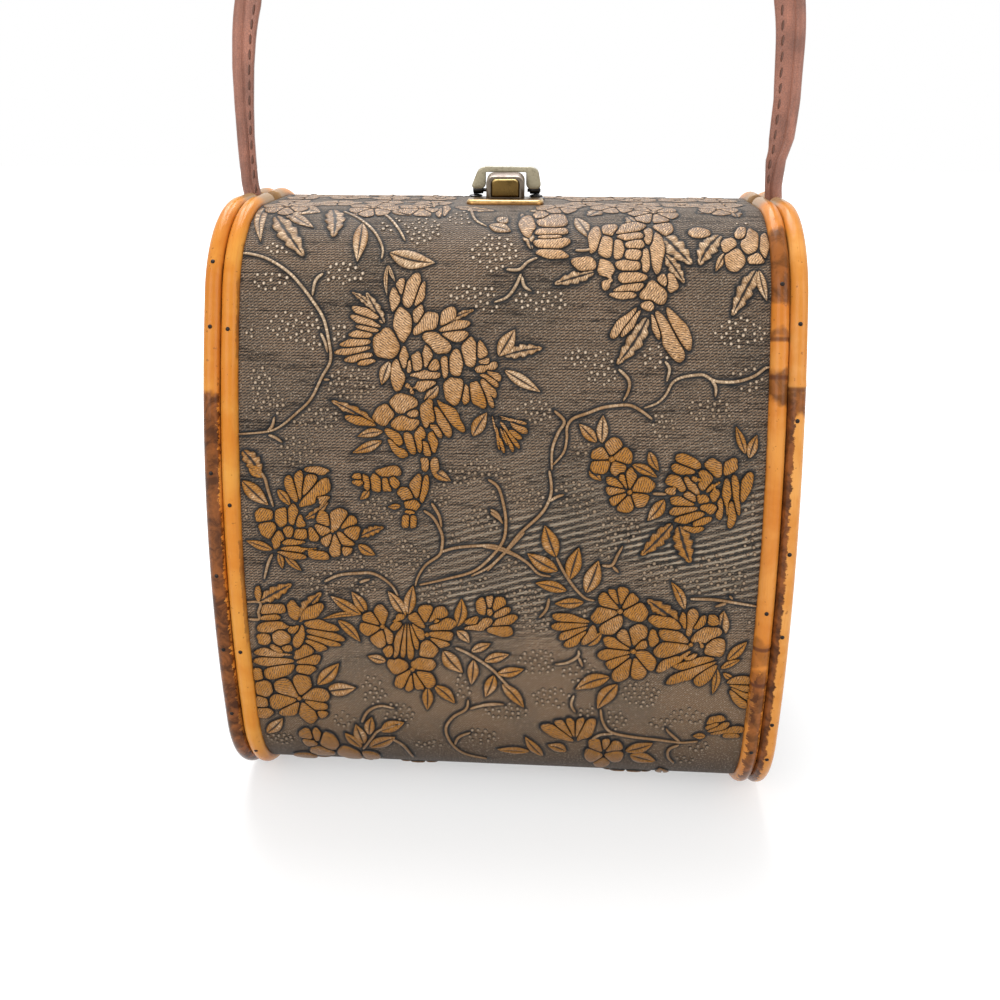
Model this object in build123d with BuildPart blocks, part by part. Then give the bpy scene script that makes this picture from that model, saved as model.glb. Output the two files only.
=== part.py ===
import os
from math import cos, radians, sin

from build123d import *

# Box handbag that opens like a clamshell: two bent shells edged with pairs of canes.
# X runs across the bag, Y from front to back, Z up. The origin is the middle of the base.

# Side profile of the case, over the canes
case_width = 210.0
case_height = 233.0
base_reach = 72.0  # half depth where the base and the lower front would meet
belly_reach = 84.0  # half depth where the lower and the upper front would meet
belly_height = 123.0
top_reach = 47.0  # half depth where the upper front and the top would meet
base_radius = 42.0
belly_radius = 350.0
top_radius = 43.0
parting_gap = 0.3  # from the middle plane to the edge of either half

# Canes and their nails
cane_radius = 3.4
cane_spacing = 0.1  # between the two canes of a pair, and from a cane to its shell
cane_wear = 0.3  # flat that the bag stands on
cane_base_gap = 6.0  # from the middle plane to a cane's lower end
cane_top_gap = 6.4
cane_end_round = 1.1
nail_radius = 0.45
nail_head_radius = 0.7
nail_head_height = 0.4
nail_length = 9.0
nail_spots = {
    "left_outer": (50.0, 95.0, 125.0, 154.0, 240.0, 284.0),
    "left_inner": (50.0, 74.0, 123.0, 181.0, 240.0, 282.0),
    "right_inner": (50.0, 86.0, 146.0, 205.0, 262.0, 286.0),
    "right_outer": (50.0, 83.0, 100.0, 137.0, 169.0, 250.0, 284.0),
}

# Walls of each half
cover_proud = 3.0  # how far the canes stand above the cover
cover_thickness = 3.7
cover_side_gap = 0.3
board_thickness = 2.5
end_thickness = 2.5
lining_thickness = 0.7
lining_gap = 0.2

# Raised floral work on the covers
relief_height = 0.8
relief_root = 0.5  # depth to which a motif is rooted in the cover
petal_gap = 0.5
vine_width = 1.7
berry_radius = 1.5

# Hinge under the base
hinge_length = 160.0
hinge_height = 2.5  # axis above the surface that the bag stands on
hinge_barrel_radius = 2.1
hinge_pin_radius = 1.0
hinge_running_gap = 0.05
hinge_knuckles = 5
hinge_knuckle_gap = 0.3
hinge_leaf_thickness = 0.9
hinge_leaf_width = 13.0
hinge_groove_gap = 0.9
hinge_rivet_radius = 0.9
hinge_rivet_head_radius = 1.8
hinge_rivet_head_height = 0.6
hinge_rivets_per_leaf = 6

# Clasp on the top
clasp_x = -1.4
plate_width = 29.6
plate_depth = 8.4
plate_height = 3.0
plate_setback = 1.0  # from the middle plane
plate_corner = 2.6
block_width = 15.2
block_depth = 5.8
block_height = 10.2
block_bevel = 1.3
button_width = 9.8
button_height = 6.9
button_rise = 0.9  # from the plate to the button's lower edge
button_proud = 0.6
button_depth = 2.6
button_travel = 1.0
button_gap = 0.12
bracket_thickness = 1.2
bracket_depth = 8.0
lug_thickness = 0.7
lug_radius = 1.25
lug_gap = 0.1
pivot_y = 2.7
pivot_rise = 4.1  # from the cover to the bail's pivot
pivot_pin_radius = 0.7
pivot_running_gap = 0.05
bail_eye_width = 3.6
bail_eye_radius = 1.2
bail_width = 26.8
bail_leg_width = 5.4
bail_thickness = 2.2
bail_height = 11.2  # from the pivot to the top of the bail
bail_bar = 2.4
bail_leg_rise = 2.5  # from the pivot to the foot of a leg
bail_outer_corner = 5.0
bail_inner_corner = 2.0
clasp_screw_radius = 0.8
clasp_screw_head_radius = 1.6
clasp_screw_x = 11.6

# Carrying strap
strap_bead_radius = 2.4
strap_spring_height = 288.0  # where the legs turn into the arch
strap_seam_width = 7.9  # from the bead's middle to the stitched edge
strap_seam_width_low = 4.8
strap_seam_thickness = 2.2
strap_clearance = 0.3
strap_foot_height = 212.0
tongue_thickness = 2.2
tongue_width = 13.0
tongue_bottom = 186.0
tongue_top = 224.0
tongue_corner = 2.0
strap_rivet_radius = 1.0
strap_rivet_head_radius = 2.4
strap_rivet_head_height = 0.9
strap_rivet_heights = (192.0, 204.0)

# Places that follow from the sizes above
base_level = -cane_wear
outer_cane_x = case_width / 2 - cane_radius
inner_cane_x = outer_cane_x - 2 * cane_radius - cane_spacing
board_inset = 2 * cane_radius + cane_spacing
cover_half_width = inner_cane_x - cane_radius - cover_side_gap
board_half_width = outer_cane_x - cane_radius + cane_spacing + cover_side_gap
end_face_x = board_half_width + end_thickness
lining_inset = board_inset + board_thickness + lining_gap
lining_half_width = board_half_width - lining_gap
cover_top = case_height - cover_proud
board_underside = case_height - board_inset - board_thickness
cover_base = base_level + cover_proud
hinge_groove = hinge_barrel_radius + hinge_groove_gap
cane_places = {
    "left_outer": -outer_cane_x,
    "left_inner": -inner_cane_x,
    "right_inner": inner_cane_x,
    "right_outer": outer_cane_x,
}
halves = {"front": -1, "back": 1}
ends = {"left": -1, "right": 1}

# Motifs of the cover: their places across the bag and up its front, and their sizes
roses = ((-34.0, 190.0, 15.0, 20), (48.0, 204.0, 15.0, 65), (74.0, 142.0, 14.0, 10))
blossoms = (
    (-10.0, 177.0, 8.5, 15),
    (-35.0, 161.0, 9.5, 40),
    (80.0, 204.0, 8.0, 5),
    (41.0, 147.0, 8.0, 30),
    (-4.5, 90.0, 9.0, 0),
    (-29.0, 78.0, 10.0, 25),
    (-72.0, 124.0, 9.5, 50),
    (-75.0, 69.0, 10.0, 10),
    (45.0, 92.0, 9.0, 60),
    (28.0, 31.0, 8.5, 35),
    (81.0, 44.0, 8.0, 20),
    (-58.0, 29.0, 8.5, 45),
    (-72.0, 206.0, 8.0, 25),
)
leaves = (
    (50.0, 181.0, 20.0, 8.0, -80),
    (36.0, 186.0, 18.0, 7.0, -125),
    (66.0, 183.0, 18.0, 7.0, -30),
    (-13.0, 196.0, 17.0, 7.0, 40),
    (-54.0, 176.0, 17.0, 7.0, 215),
    (-56.0, 203.0, 14.0, 6.0, 165),
    (-17.0, 164.0, 15.0, 6.0, -35),
    (55.0, 131.0, 19.0, 7.0, 215),
    (82.0, 122.0, 17.0, 6.5, -70),
    (60.0, 157.0, 17.0, 6.5, 150),
    (22.0, 108.0, 24.0, 9.0, 25),
    (4.0, 62.0, 24.0, 8.0, -30),
    (-45.0, 88.0, 17.0, 7.0, 140),
    (-12.0, 72.0, 15.0, 6.0, -100),
    (-64.0, 104.0, 17.0, 6.5, 60),
    (-82.0, 92.0, 15.0, 6.0, 110),
    (62.0, 76.0, 18.0, 7.0, -25),
    (33.0, 76.0, 17.0, 6.0, 200),
    (-38.0, 44.0, 17.0, 6.5, 20),
    (50.0, 36.0, 17.0, 6.5, 25),
    (8.0, 26.0, 16.0, 6.0, 170),
    (8.0, 205.0, 15.0, 6.0, 15),
    (30.0, 128.0, 17.0, 6.5, 70),
    (-84.0, 178.0, 15.0, 6.0, 85),
    (74.0, 24.0, 14.0, 5.5, 10),
    (-80.0, 34.0, 14.0, 5.5, 120),
)
vines = (
    ((-88.0, 214.0), (-74.0, 196.0), (-61.0, 186.0), (-62.0, 167.0), (-72.0, 156.0), (-88.0, 152.0)),
    ((88.0, 178.0), (74.0, 175.0), (56.0, 172.0), (36.0, 168.0), (22.0, 159.0), (17.0, 141.0)),
    ((17.0, 141.0), (15.0, 121.0), (1.0, 107.0), (-28.0, 102.0), (-51.0, 96.0), (-58.0, 84.0)),
    ((-46.0, 124.0), (-36.0, 134.0), (-20.0, 138.0), (-8.0, 130.0), (-12.0, 120.0)),
    ((88.0, 100.0), (76.0, 108.0), (64.0, 112.0), (56.0, 104.0)),
    ((-86.0, 50.0), (-72.0, 46.0), (-62.0, 50.0), (-52.0, 60.0), (-42.0, 62.0)),
    ((14.0, 46.0), (24.0, 54.0), (30.0, 64.0), (24.0, 72.0)),
    ((-4.0, 34.0), (-16.0, 30.0), (-28.0, 24.0), (-40.0, 22.0)),
    ((64.0, 60.0), (74.0, 62.0), (84.0, 70.0), (86.0, 84.0)),
)
berries = (
    (0.0, 186.0),
    (4.0, 190.0),
    (5.0, 183.0),
    (24.0, 176.0),
    (28.0, 180.0),
    (-52.0, 150.0),
    (-56.0, 154.0),
    (-50.0, 155.0),
    (-6.0, 148.0),
    (-1.0, 151.0),
    (-4.0, 155.0),
    (34.0, 112.0),
    (70.0, 90.0),
    (74.0, 94.0),
    (70.0, 97.0),
    (-20.0, 54.0),
    (-15.0, 57.0),
    (-88.0, 132.0),
    (-85.0, 137.0),
    (82.0, 164.0),
    (86.0, 167.0),
    (-22.0, 119.0),
    (-18.0, 115.0),
    (44.0, 56.0),
    (40.0, 60.0),
    (62.0, 26.0),
)


def finish(part, label):
    # Name one finished piece and write it out.
    part.label = label
    export_step(part, f"parts/{label}.step")


def inset_corners(inset):
    # Corners of the side profile, moved inwards by one distance on every side.
    line = [
        Vector(0, base_level),
        Vector(base_reach, base_level),
        Vector(belly_reach, belly_height),
        Vector(top_reach, case_height),
        Vector(0, case_height),
    ]
    corners = []
    for before, corner, after in zip(line, line[1:], line[2:]):
        arriving = (corner - before).normalized()
        leaving = (after - corner).normalized()
        first = Vector(-arriving.Y, arriving.X)
        second = Vector(-leaving.Y, leaving.X)
        corners.append(corner + (first + second) * (inset / (1 + first.dot(second))))
    return corners


def draw_profile(side, inset, base_gap, top_gap):
    # One half's profile line, from its base edge up and over to its top edge.
    points = [(side * base_gap, base_level + inset)]
    points += [(side * corner.X, corner.Y) for corner in inset_corners(inset)]
    points.append((side * top_gap, case_height - inset))
    radii = [base_radius - inset, belly_radius - inset, top_radius - inset]
    return FilletPolyline(*points, radius=radii)


def draw_band(side, inset, thickness, base_gap, top_gap):
    # Section of a bent wall: the profile, the same profile further in, and its two edges.
    outer = draw_profile(side, inset, base_gap, top_gap)
    inner = draw_profile(side, inset + thickness, base_gap, top_gap)
    Line(outer @ 0, inner @ 0)
    Line(outer @ 1, inner @ 1)


def bent_wall(side, inset, thickness, half_width, base_gap, top_gap):
    with BuildPart() as wall:
        with BuildSketch(Plane.YZ):
            with BuildLine():
                draw_band(side, inset, thickness, base_gap, top_gap)
            make_face()
        extrude(amount=half_width, both=True)
    return wall.part


def flat_end(side, inset, start_x, thickness):
    # Flat panel inside the profile, thickness pointing away from the bag's middle.
    with BuildPart() as panel:
        with BuildSketch(Plane.YZ.offset(start_x)):
            with BuildLine():
                rim = draw_profile(side, inset, parting_gap, parting_gap)
                Line(rim @ 0, rim @ 1)
            make_face()
        extrude(amount=thickness)
    return panel.part


def cane_route(side, place):
    with BuildLine(Plane.YZ.offset(place)) as route:
        draw_profile(side, cane_radius, cane_base_gap, cane_top_gap)
    return route.wire()


def nail_planes(side, place, spots):
    # Planes on a cane's outside, one for each nail, with their normals pointing outwards.
    route = cane_route(side, place)
    planes = []
    for spot in spots:
        middle = route.position_at(spot, position_mode=PositionMode.LENGTH)
        along = route.tangent_at(spot, position_mode=PositionMode.LENGTH)
        outwards = along.cross(Vector(side, 0, 0))
        planes.append(Plane(origin=middle + outwards * cane_radius, z_dir=outwards))
    return planes


def make_cane(side, place, spots):
    with BuildPart() as cane:
        with BuildLine(Plane.YZ.offset(place)) as route:
            draw_profile(side, cane_radius, cane_base_gap, cane_top_gap)
        with BuildSketch(Plane(origin=route.line @ 0, z_dir=route.line % 0)):
            Circle(cane_radius)
        sweep()
        cut_ends = cane.faces().filter_by(GeomType.PLANE)
        fillet(cut_ends.edges(), cane_end_round)
        split(bisect_by=Plane.XY, keep=Keep.TOP)
        for plane in nail_planes(side, place, spots):
            with BuildSketch(plane):
                Circle(nail_radius)
            extrude(amount=-nail_length, mode=Mode.SUBTRACT)
    return cane.part


def make_nails(side):
    with BuildPart() as nails:
        for name, place in cane_places.items():
            for plane in nail_planes(side, place, nail_spots[name]):
                with BuildSketch(plane):
                    Circle(nail_radius)
                extrude(amount=-nail_length)
                with BuildSketch(plane):
                    Circle(nail_head_radius)
                extrude(amount=nail_head_height, taper=35)
    return nails.part


def nail_holes(side):
    # What the nails take out of the walls they are driven into.
    with BuildPart() as holes:
        for name, place in cane_places.items():
            for plane in nail_planes(side, place, nail_spots[name]):
                with BuildSketch(plane):
                    Circle(nail_radius)
                extrude(amount=-nail_length)
    return holes.part


def draw_petals(count, reach, width, turn):
    # A ring of round petals about the middle of the current place.
    with PolarLocations(reach / 2, count, start_angle=turn):
        Ellipse(reach / 2, width / 2)


def draw_flower(x, z, radius, turn, rose):
    # A rose has two rings of petals with a groove between them, a blossom has one.
    with Locations((x, z)):
        if rose:
            draw_petals(7, radius, radius * 0.72, turn)
            Circle(radius * 0.56 + petal_gap, mode=Mode.SUBTRACT)
            draw_petals(5, radius * 0.56, radius * 0.46, turn + 20)
            Circle(radius * 0.2 + petal_gap, mode=Mode.SUBTRACT)
            Circle(radius * 0.2)
        else:
            draw_petals(5, radius, radius * 0.7, turn)
            Circle(radius * 0.24 + petal_gap, mode=Mode.SUBTRACT)
            Circle(radius * 0.24)


def leaf_shape(length, width):
    # A leaf of two arcs, parted by the groove of its midrib.
    tip = Vector(length / 2, 0)
    across = Vector(0, width / 2)
    with BuildSketch() as leaf:
        with BuildLine():
            ThreePointArc(-tip, across, tip)
            ThreePointArc(tip, -across, -tip)
        make_face()
        Rectangle(length * 0.8, petal_gap, mode=Mode.SUBTRACT)
    return leaf.sketch


def vine_shape(points):
    # A stem of even width along a smooth run of points.
    with BuildSketch() as stem:
        with BuildLine():
            Spline(*points)
        trace(line_width=vine_width)
    return stem.sketch


def make_relief(side):
    # Motifs cut from a thin layer that follows the cover.
    with BuildPart() as relief:
        with BuildSketch(Plane.XZ):
            for points in vines:
                add(vine_shape(points))
            with Locations([(x, z) for x, z, radius, turn in roses + blossoms]):
                Circle(petal_gap, mode=Mode.SUBTRACT)
            for x, z, length, width, angle in leaves:
                with Locations(Location((x, z, 0), (0, 0, angle))):
                    add(leaf_shape(length, width))
            for x, z, radius, turn in blossoms:
                draw_flower(x, z, radius, turn, False)
            for x, z, radius, turn in roses:
                draw_flower(x, z, radius, turn, True)
            for x, z in berries:
                with Locations((x, z)):
                    Circle(berry_radius)
        extrude(amount=-side * belly_reach)
        layer = bent_wall(
            side,
            cover_proud - relief_height,
            relief_height + relief_root,
            cover_half_width,
            hinge_groove,
            parting_gap,
        )
        add(layer, mode=Mode.INTERSECT)
    return relief.part


def make_covers():
    # The front cover with its raised work, and the back cover as its mirror image.
    with BuildPart() as front_cover:
        add(
            bent_wall(
                -1, cover_proud, cover_thickness, cover_half_width, hinge_groove, parting_gap
            )
        )
        add(make_relief(-1))
        add(base_holes(-1), mode=Mode.SUBTRACT)
        add(clasp_holes(-1), mode=Mode.SUBTRACT)
    finish(front_cover.part, "front_cover")
    with BuildPart() as back_cover:
        mirror(front_cover.part, about=Plane.XZ)
    finish(back_cover.part, "back_cover")


def leaf_rivet_places():
    step = hinge_length / hinge_rivets_per_leaf
    first = -hinge_length / 2 + step / 2
    return [first + index * step for index in range(hinge_rivets_per_leaf)]


def base_holes(side):
    # Holes of the hinge's rivets, up through the base.
    rivet_y = side * (hinge_groove + hinge_leaf_width / 2)
    with BuildPart() as holes:
        with BuildSketch(Plane.XY):
            with Locations([(x, rivet_y) for x in leaf_rivet_places()]):
                Circle(hinge_rivet_radius)
        extrude(amount=board_inset + board_thickness)
    return holes.part


def clasp_screw_places(side):
    y = side * (plate_setback + plate_depth / 2)
    return [(clasp_x - clasp_screw_x, y), (clasp_x + clasp_screw_x, y)]


def clasp_holes(side):
    # Holes of the clasp's screws, down from above the cover.
    with BuildPart() as holes:
        with BuildSketch(Plane.XY.offset(cover_top + plate_height)):
            with Locations(clasp_screw_places(side)):
                Circle(clasp_screw_radius)
        extrude(amount=board_underside - cover_top - plate_height)
    return holes.part


def knuckle_spans():
    # Start and end of each hinge knuckle along X.
    pitch = hinge_length / hinge_knuckles
    spans = []
    for index in range(hinge_knuckles):
        start = -hinge_length / 2 + index * pitch
        spans.append((start + hinge_knuckle_gap / 2, start + pitch - hinge_knuckle_gap / 2))
    return spans


def make_hinge_leaf(side):
    # The back leaf carries the odd knuckles, the front leaf the even ones.
    own = 0 if side > 0 else 1
    inner_edge = hinge_barrel_radius + hinge_knuckle_gap
    with BuildPart() as leaf:
        leaf_middle = side * (inner_edge + hinge_groove + hinge_leaf_width) / 2
        leaf_depth = hinge_groove + hinge_leaf_width - inner_edge
        with BuildSketch(Plane.XY.offset(cover_base - hinge_leaf_thickness)):
            with Locations((0, leaf_middle)):
                Rectangle(hinge_length, leaf_depth)
        extrude(amount=hinge_leaf_thickness)
        for start, stop in knuckle_spans()[own::2]:
            with BuildSketch(Plane.YZ.offset(start)):
                with Locations((0, hinge_height)):
                    Circle(hinge_barrel_radius)
                with Locations((side * inner_edge / 2, cover_base - hinge_leaf_thickness / 2)):
                    Rectangle(inner_edge + hinge_knuckle_gap, hinge_leaf_thickness)
                with Locations((0, hinge_height)):
                    Circle(hinge_pin_radius + hinge_running_gap, mode=Mode.SUBTRACT)
            extrude(amount=stop - start)
        add(base_holes(side), mode=Mode.SUBTRACT)
    return leaf.part


def make_hinge_rivets(side):
    rivet_y = side * (hinge_groove + hinge_leaf_width / 2)
    under_leaf = cover_base - hinge_leaf_thickness
    places = [(x, rivet_y) for x in leaf_rivet_places()]
    with BuildPart() as rivets:
        with BuildSketch(Plane.XY.offset(under_leaf)):
            with Locations(places):
                Circle(hinge_rivet_radius)
        extrude(amount=base_level + board_inset + board_thickness - under_leaf)
        with BuildSketch(Plane.XY.offset(under_leaf)):
            with Locations(places):
                Circle(hinge_rivet_head_radius)
        extrude(amount=-hinge_rivet_head_height, taper=30)
    return rivets.part


def make_half(name, side):
    # Shell, ends, lining, canes, nails and hinge leaf of one half.
    shell = bent_wall(
        side, board_inset, board_thickness, board_half_width, parting_gap, parting_gap
    )
    with BuildPart() as board:
        add(shell)
        add(nail_holes(side), mode=Mode.SUBTRACT)
        add(base_holes(side), mode=Mode.SUBTRACT)
        add(clasp_holes(side), mode=Mode.SUBTRACT)
    finish(board.part, f"{name}_shell")

    for end_name, end in ends.items():
        with BuildPart() as panel:
            add(flat_end(side, board_inset, end * board_half_width, end * end_thickness))
            add(nail_holes(side), mode=Mode.SUBTRACT)
            if side > 0:
                add(strap_rivet_holes(end), mode=Mode.SUBTRACT)
        finish(panel.part, f"{name}_{end_name}_end")

    with BuildPart() as lining:
        add(
            bent_wall(
                side, lining_inset, lining_thickness, lining_half_width, parting_gap, parting_gap
            )
        )
        for end in ends.values():
            sheet_x = end * (lining_half_width - lining_thickness)
            add(flat_end(side, lining_inset, sheet_x, end * lining_thickness))
    finish(lining.part, f"{name}_lining")

    for cane_name, place in cane_places.items():
        finish(make_cane(side, place, nail_spots[cane_name]), f"{name}_{cane_name}_cane")
    finish(make_nails(side), f"{name}_nails")
    finish(make_hinge_leaf(side), f"{name}_hinge_leaf")
    finish(make_hinge_rivets(side), f"{name}_hinge_rivets")


def make_clasp():
    plate_y = -(plate_setback + plate_depth / 2)
    block_y = -(plate_setback + block_depth / 2)
    block_base = cover_top + plate_height
    block_front = -(plate_setback + block_depth)
    button_middle = block_base + button_rise + button_height / 2

    with BuildPart() as plate:
        with BuildSketch(Plane.XY.offset(cover_top)):
            with Locations((clasp_x, plate_y)):
                RectangleRounded(plate_width, plate_depth, plate_corner)
        extrude(amount=plate_height)
        fillet(plate.faces().sort_by(Axis.Z)[-1].outer_wire().edges(), 1.0)
        add(clasp_holes(-1), mode=Mode.SUBTRACT)
        add(clasp_sinks(-1, cover_top + plate_height), mode=Mode.SUBTRACT)
    finish(plate.part, "clasp_plate")

    with BuildPart() as block:
        with BuildSketch(Plane.XY.offset(block_base)):
            with Locations((clasp_x, block_y)):
                Rectangle(block_width, block_depth)
        extrude(amount=block_height)
        front_face = block.faces().sort_by(Axis.Y)[0]
        chamfer(front_face.edges().sort_by(Axis.Z)[1:], block_bevel)
        with BuildSketch(Plane.XZ.offset(-block_front)):
            with Locations((clasp_x, button_middle)):
                Rectangle(button_width + 2 * button_gap, button_height + 2 * button_gap)
        extrude(
            amount=-(button_depth + button_travel + button_gap),
            mode=Mode.SUBTRACT,
        )
    finish(block.part, "clasp_block")

    with BuildPart() as button:
        with BuildSketch(Plane.XZ.offset(-block_front + button_proud)):
            with Locations((clasp_x, button_middle)):
                Rectangle(button_width, button_height)
        extrude(amount=-(button_proud + button_depth))
        fillet(button.faces().sort_by(Axis.Y)[0].edges(), 0.4)
    finish(button.part, "clasp_button")

    make_clasp_screws("clasp_screws", -1, cover_top + plate_height)


def clasp_sinks(side, level):
    # Countersinks that the screw heads lie in, flush with the plate.
    with BuildPart() as sinks:
        with BuildSketch(Plane.XY.offset(level)):
            with Locations(clasp_screw_places(side)):
                Circle(clasp_screw_head_radius)
        extrude(amount=-(clasp_screw_head_radius - clasp_screw_radius), taper=45)
    return sinks.part


def make_clasp_screws(label, side, level):
    with BuildPart() as screws:
        with BuildSketch(Plane.XY.offset(level)):
            with Locations(clasp_screw_places(side)):
                Circle(clasp_screw_head_radius)
        extrude(amount=-(clasp_screw_head_radius - clasp_screw_radius), taper=45)
        with BuildSketch(Plane.XY.offset(level)):
            with Locations(clasp_screw_places(side)):
                Circle(clasp_screw_radius)
        extrude(amount=board_underside - level)
    finish(screws.part, label)


def pivot_spans():
    # For each side of the bail: the eye's inner and outer end, measured from the clasp's middle.
    middle = bail_width / 2 - bail_leg_width / 2
    return [(end, middle - bail_eye_width / 2, middle + bail_eye_width / 2) for end in (-1, 1)]


def make_bail():
    pivot_z = cover_top + pivot_rise
    lug_step = lug_gap + lug_thickness
    with BuildPart() as bracket:
        with BuildSketch(Plane.XY.offset(cover_top)):
            with Locations((clasp_x, plate_setback + bracket_depth / 2)):
                RectangleRounded(plate_width, bracket_depth, plate_corner)
        extrude(amount=bracket_thickness)
        for end, inner, outer in pivot_spans():
            for start in (inner - lug_step, outer + lug_gap):
                with BuildSketch(Plane.YZ.offset(clasp_x + end * start)):
                    with Locations((pivot_y, pivot_z)):
                        Circle(lug_radius)
                    with Locations((pivot_y, (pivot_z + cover_top) / 2)):
                        Rectangle(2 * lug_radius, pivot_rise)
                    with Locations((pivot_y, pivot_z)):
                        Circle(pivot_pin_radius, mode=Mode.SUBTRACT)
                extrude(amount=end * lug_thickness)
        add(clasp_holes(1), mode=Mode.SUBTRACT)
        add(clasp_sinks(1, cover_top + bracket_thickness), mode=Mode.SUBTRACT)
    finish(bracket.part, "bail_bracket")
    make_clasp_screws("bracket_screws", 1, cover_top + bracket_thickness)

    with BuildPart() as pins:
        for end, inner, outer in pivot_spans():
            with BuildSketch(Plane.YZ.offset(clasp_x + end * (inner - lug_step))):
                with Locations((pivot_y, pivot_z)):
                    Circle(pivot_pin_radius)
            extrude(amount=end * (bail_eye_width + 2 * lug_step))
    finish(pins.part, "bail_pins")

    foot = pivot_z + bail_leg_rise
    top = pivot_z + bail_height
    window = bail_width - 2 * bail_leg_width
    with BuildPart() as bail:
        with BuildSketch(Plane.XZ.offset(-pivot_y)):
            with Locations((clasp_x, (foot + top) / 2)):
                RectangleRounded(bail_width, top - foot, bail_outer_corner - bail_leg_rise)
            with Locations((clasp_x, foot + (top - bail_bar - foot) / 2)):
                Rectangle(window, top - bail_bar - foot, mode=Mode.SUBTRACT)
        extrude(amount=bail_thickness / 2, both=True)
        for end, inner, outer in pivot_spans():
            with BuildSketch(Plane.YZ.offset(clasp_x + end * inner)):
                with Locations((pivot_y, pivot_z)):
                    Circle(bail_eye_radius)
                with Locations((pivot_y, pivot_z + bail_leg_rise / 2)):
                    Rectangle(bail_eye_radius * 1.5, bail_leg_rise)
                with Locations((pivot_y, pivot_z)):
                    Circle(pivot_pin_radius + pivot_running_gap, mode=Mode.SUBTRACT)
            extrude(amount=end * bail_eye_width)
    finish(bail.part, "clasp_bail")


def strap_places():
    # The strap's legs stand just outside the end panels, behind the parting line.
    leg_x = end_face_x + strap_clearance + strap_bead_radius
    leg_y = parting_gap + strap_clearance + strap_bead_radius
    return leg_x, leg_y


def strap_rivet_planes(end):
    leg_x, leg_y = strap_places()
    rivet_y = parting_gap + strap_clearance + tongue_width / 2
    face_x = end * (end_face_x + strap_clearance + tongue_thickness)
    return [
        Plane(origin=(face_x, rivet_y, height), z_dir=(end, 0, 0))
        for height in strap_rivet_heights
    ]


def strap_rivet_holes(end):
    # Holes of the strap's rivets, through its tongue and the end panel.
    reach = strap_clearance + tongue_thickness + end_thickness
    with BuildPart() as holes:
        for plane in strap_rivet_planes(end):
            with BuildSketch(plane):
                Circle(strap_rivet_radius)
            extrude(amount=-reach)
    return holes.part


def make_strap():
    leg_x, leg_y = strap_places()
    arch_plane = Plane.XZ.offset(-leg_y)
    crown = strap_spring_height + leg_x
    low = cover_top + strap_bead_radius
    inner_low = leg_x - strap_seam_width_low
    inner_high = leg_x - strap_seam_width
    with BuildPart() as strap:
        with BuildLine(arch_plane) as route:
            rise = Line((-leg_x, strap_foot_height), (-leg_x, strap_spring_height))
            ThreePointArc(rise @ 1, (0, crown), (leg_x, strap_spring_height))
            Line((leg_x, strap_spring_height), (leg_x, strap_foot_height))
        with BuildSketch(Plane(origin=route.line @ 0, z_dir=route.line % 0)):
            Circle(strap_bead_radius)
        sweep()
        with BuildSketch(arch_plane):
            with BuildLine():
                Line((-leg_x, low), (-leg_x, strap_spring_height))
                ThreePointArc(
                    (-leg_x, strap_spring_height), (0, crown), (leg_x, strap_spring_height)
                )
                Line((leg_x, strap_spring_height), (leg_x, low))
                Line((leg_x, low), (inner_low, low))
                Line((inner_low, low), (inner_high, strap_spring_height))
                ThreePointArc(
                    (inner_high, strap_spring_height),
                    (0, crown - strap_seam_width),
                    (-inner_high, strap_spring_height),
                )
                Line((-inner_high, strap_spring_height), (-inner_low, low))
                Line((-inner_low, low), (-leg_x, low))
            make_face()
        extrude(amount=strap_seam_thickness / 2, both=True)
        for end in ends.values():
            tongue_x = end * (end_face_x + strap_clearance)
            with BuildSketch(Plane.YZ.offset(tongue_x)):
                tongue_y = parting_gap + strap_clearance + tongue_width / 2
                with Locations((tongue_y, (tongue_bottom + tongue_top) / 2)):
                    RectangleRounded(tongue_width, tongue_top - tongue_bottom, tongue_corner)
            extrude(amount=end * tongue_thickness)
            add(strap_rivet_holes(end), mode=Mode.SUBTRACT)
    finish(strap.part, "strap")

    reach = strap_clearance + tongue_thickness + end_thickness
    with BuildPart() as rivets:
        for end in ends.values():
            for plane in strap_rivet_planes(end):
                with BuildSketch(plane):
                    Circle(strap_rivet_radius)
                extrude(amount=-reach)
                with BuildSketch(plane):
                    Circle(strap_rivet_head_radius)
                extrude(amount=strap_rivet_head_height, taper=35)
    finish(rivets.part, "strap_rivets")


def make_hinge_pin():
    with BuildPart() as pin:
        with BuildSketch(Plane.YZ.offset(-hinge_length / 2)):
            with Locations((0, hinge_height)):
                Circle(hinge_pin_radius)
        extrude(amount=hinge_length)
    finish(pin.part, "hinge_pin")


os.makedirs("parts", exist_ok=True)
for half_name, half_side in halves.items():
    make_half(half_name, half_side)
make_covers()
make_hinge_pin()
make_clasp()
make_bail()
make_strap()
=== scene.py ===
import math
import random

import bmesh
import bpy
import numpy as np
from mathutils import Matrix, Vector, kdtree, noise


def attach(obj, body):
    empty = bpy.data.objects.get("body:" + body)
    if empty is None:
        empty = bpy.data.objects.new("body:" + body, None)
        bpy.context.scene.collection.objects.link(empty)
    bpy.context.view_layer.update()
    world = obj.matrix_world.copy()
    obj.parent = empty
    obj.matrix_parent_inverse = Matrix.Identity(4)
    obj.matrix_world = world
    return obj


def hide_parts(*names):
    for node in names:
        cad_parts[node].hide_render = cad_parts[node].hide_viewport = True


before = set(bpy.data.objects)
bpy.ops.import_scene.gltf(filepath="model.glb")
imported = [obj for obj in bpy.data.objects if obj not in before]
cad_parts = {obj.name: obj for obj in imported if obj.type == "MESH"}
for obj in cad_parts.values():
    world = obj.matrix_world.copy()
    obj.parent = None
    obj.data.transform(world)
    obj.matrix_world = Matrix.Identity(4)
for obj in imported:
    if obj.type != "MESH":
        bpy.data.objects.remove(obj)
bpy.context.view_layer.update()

mm = 0.001
fullTurn = 2 * math.pi
print("frame loaded")


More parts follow.
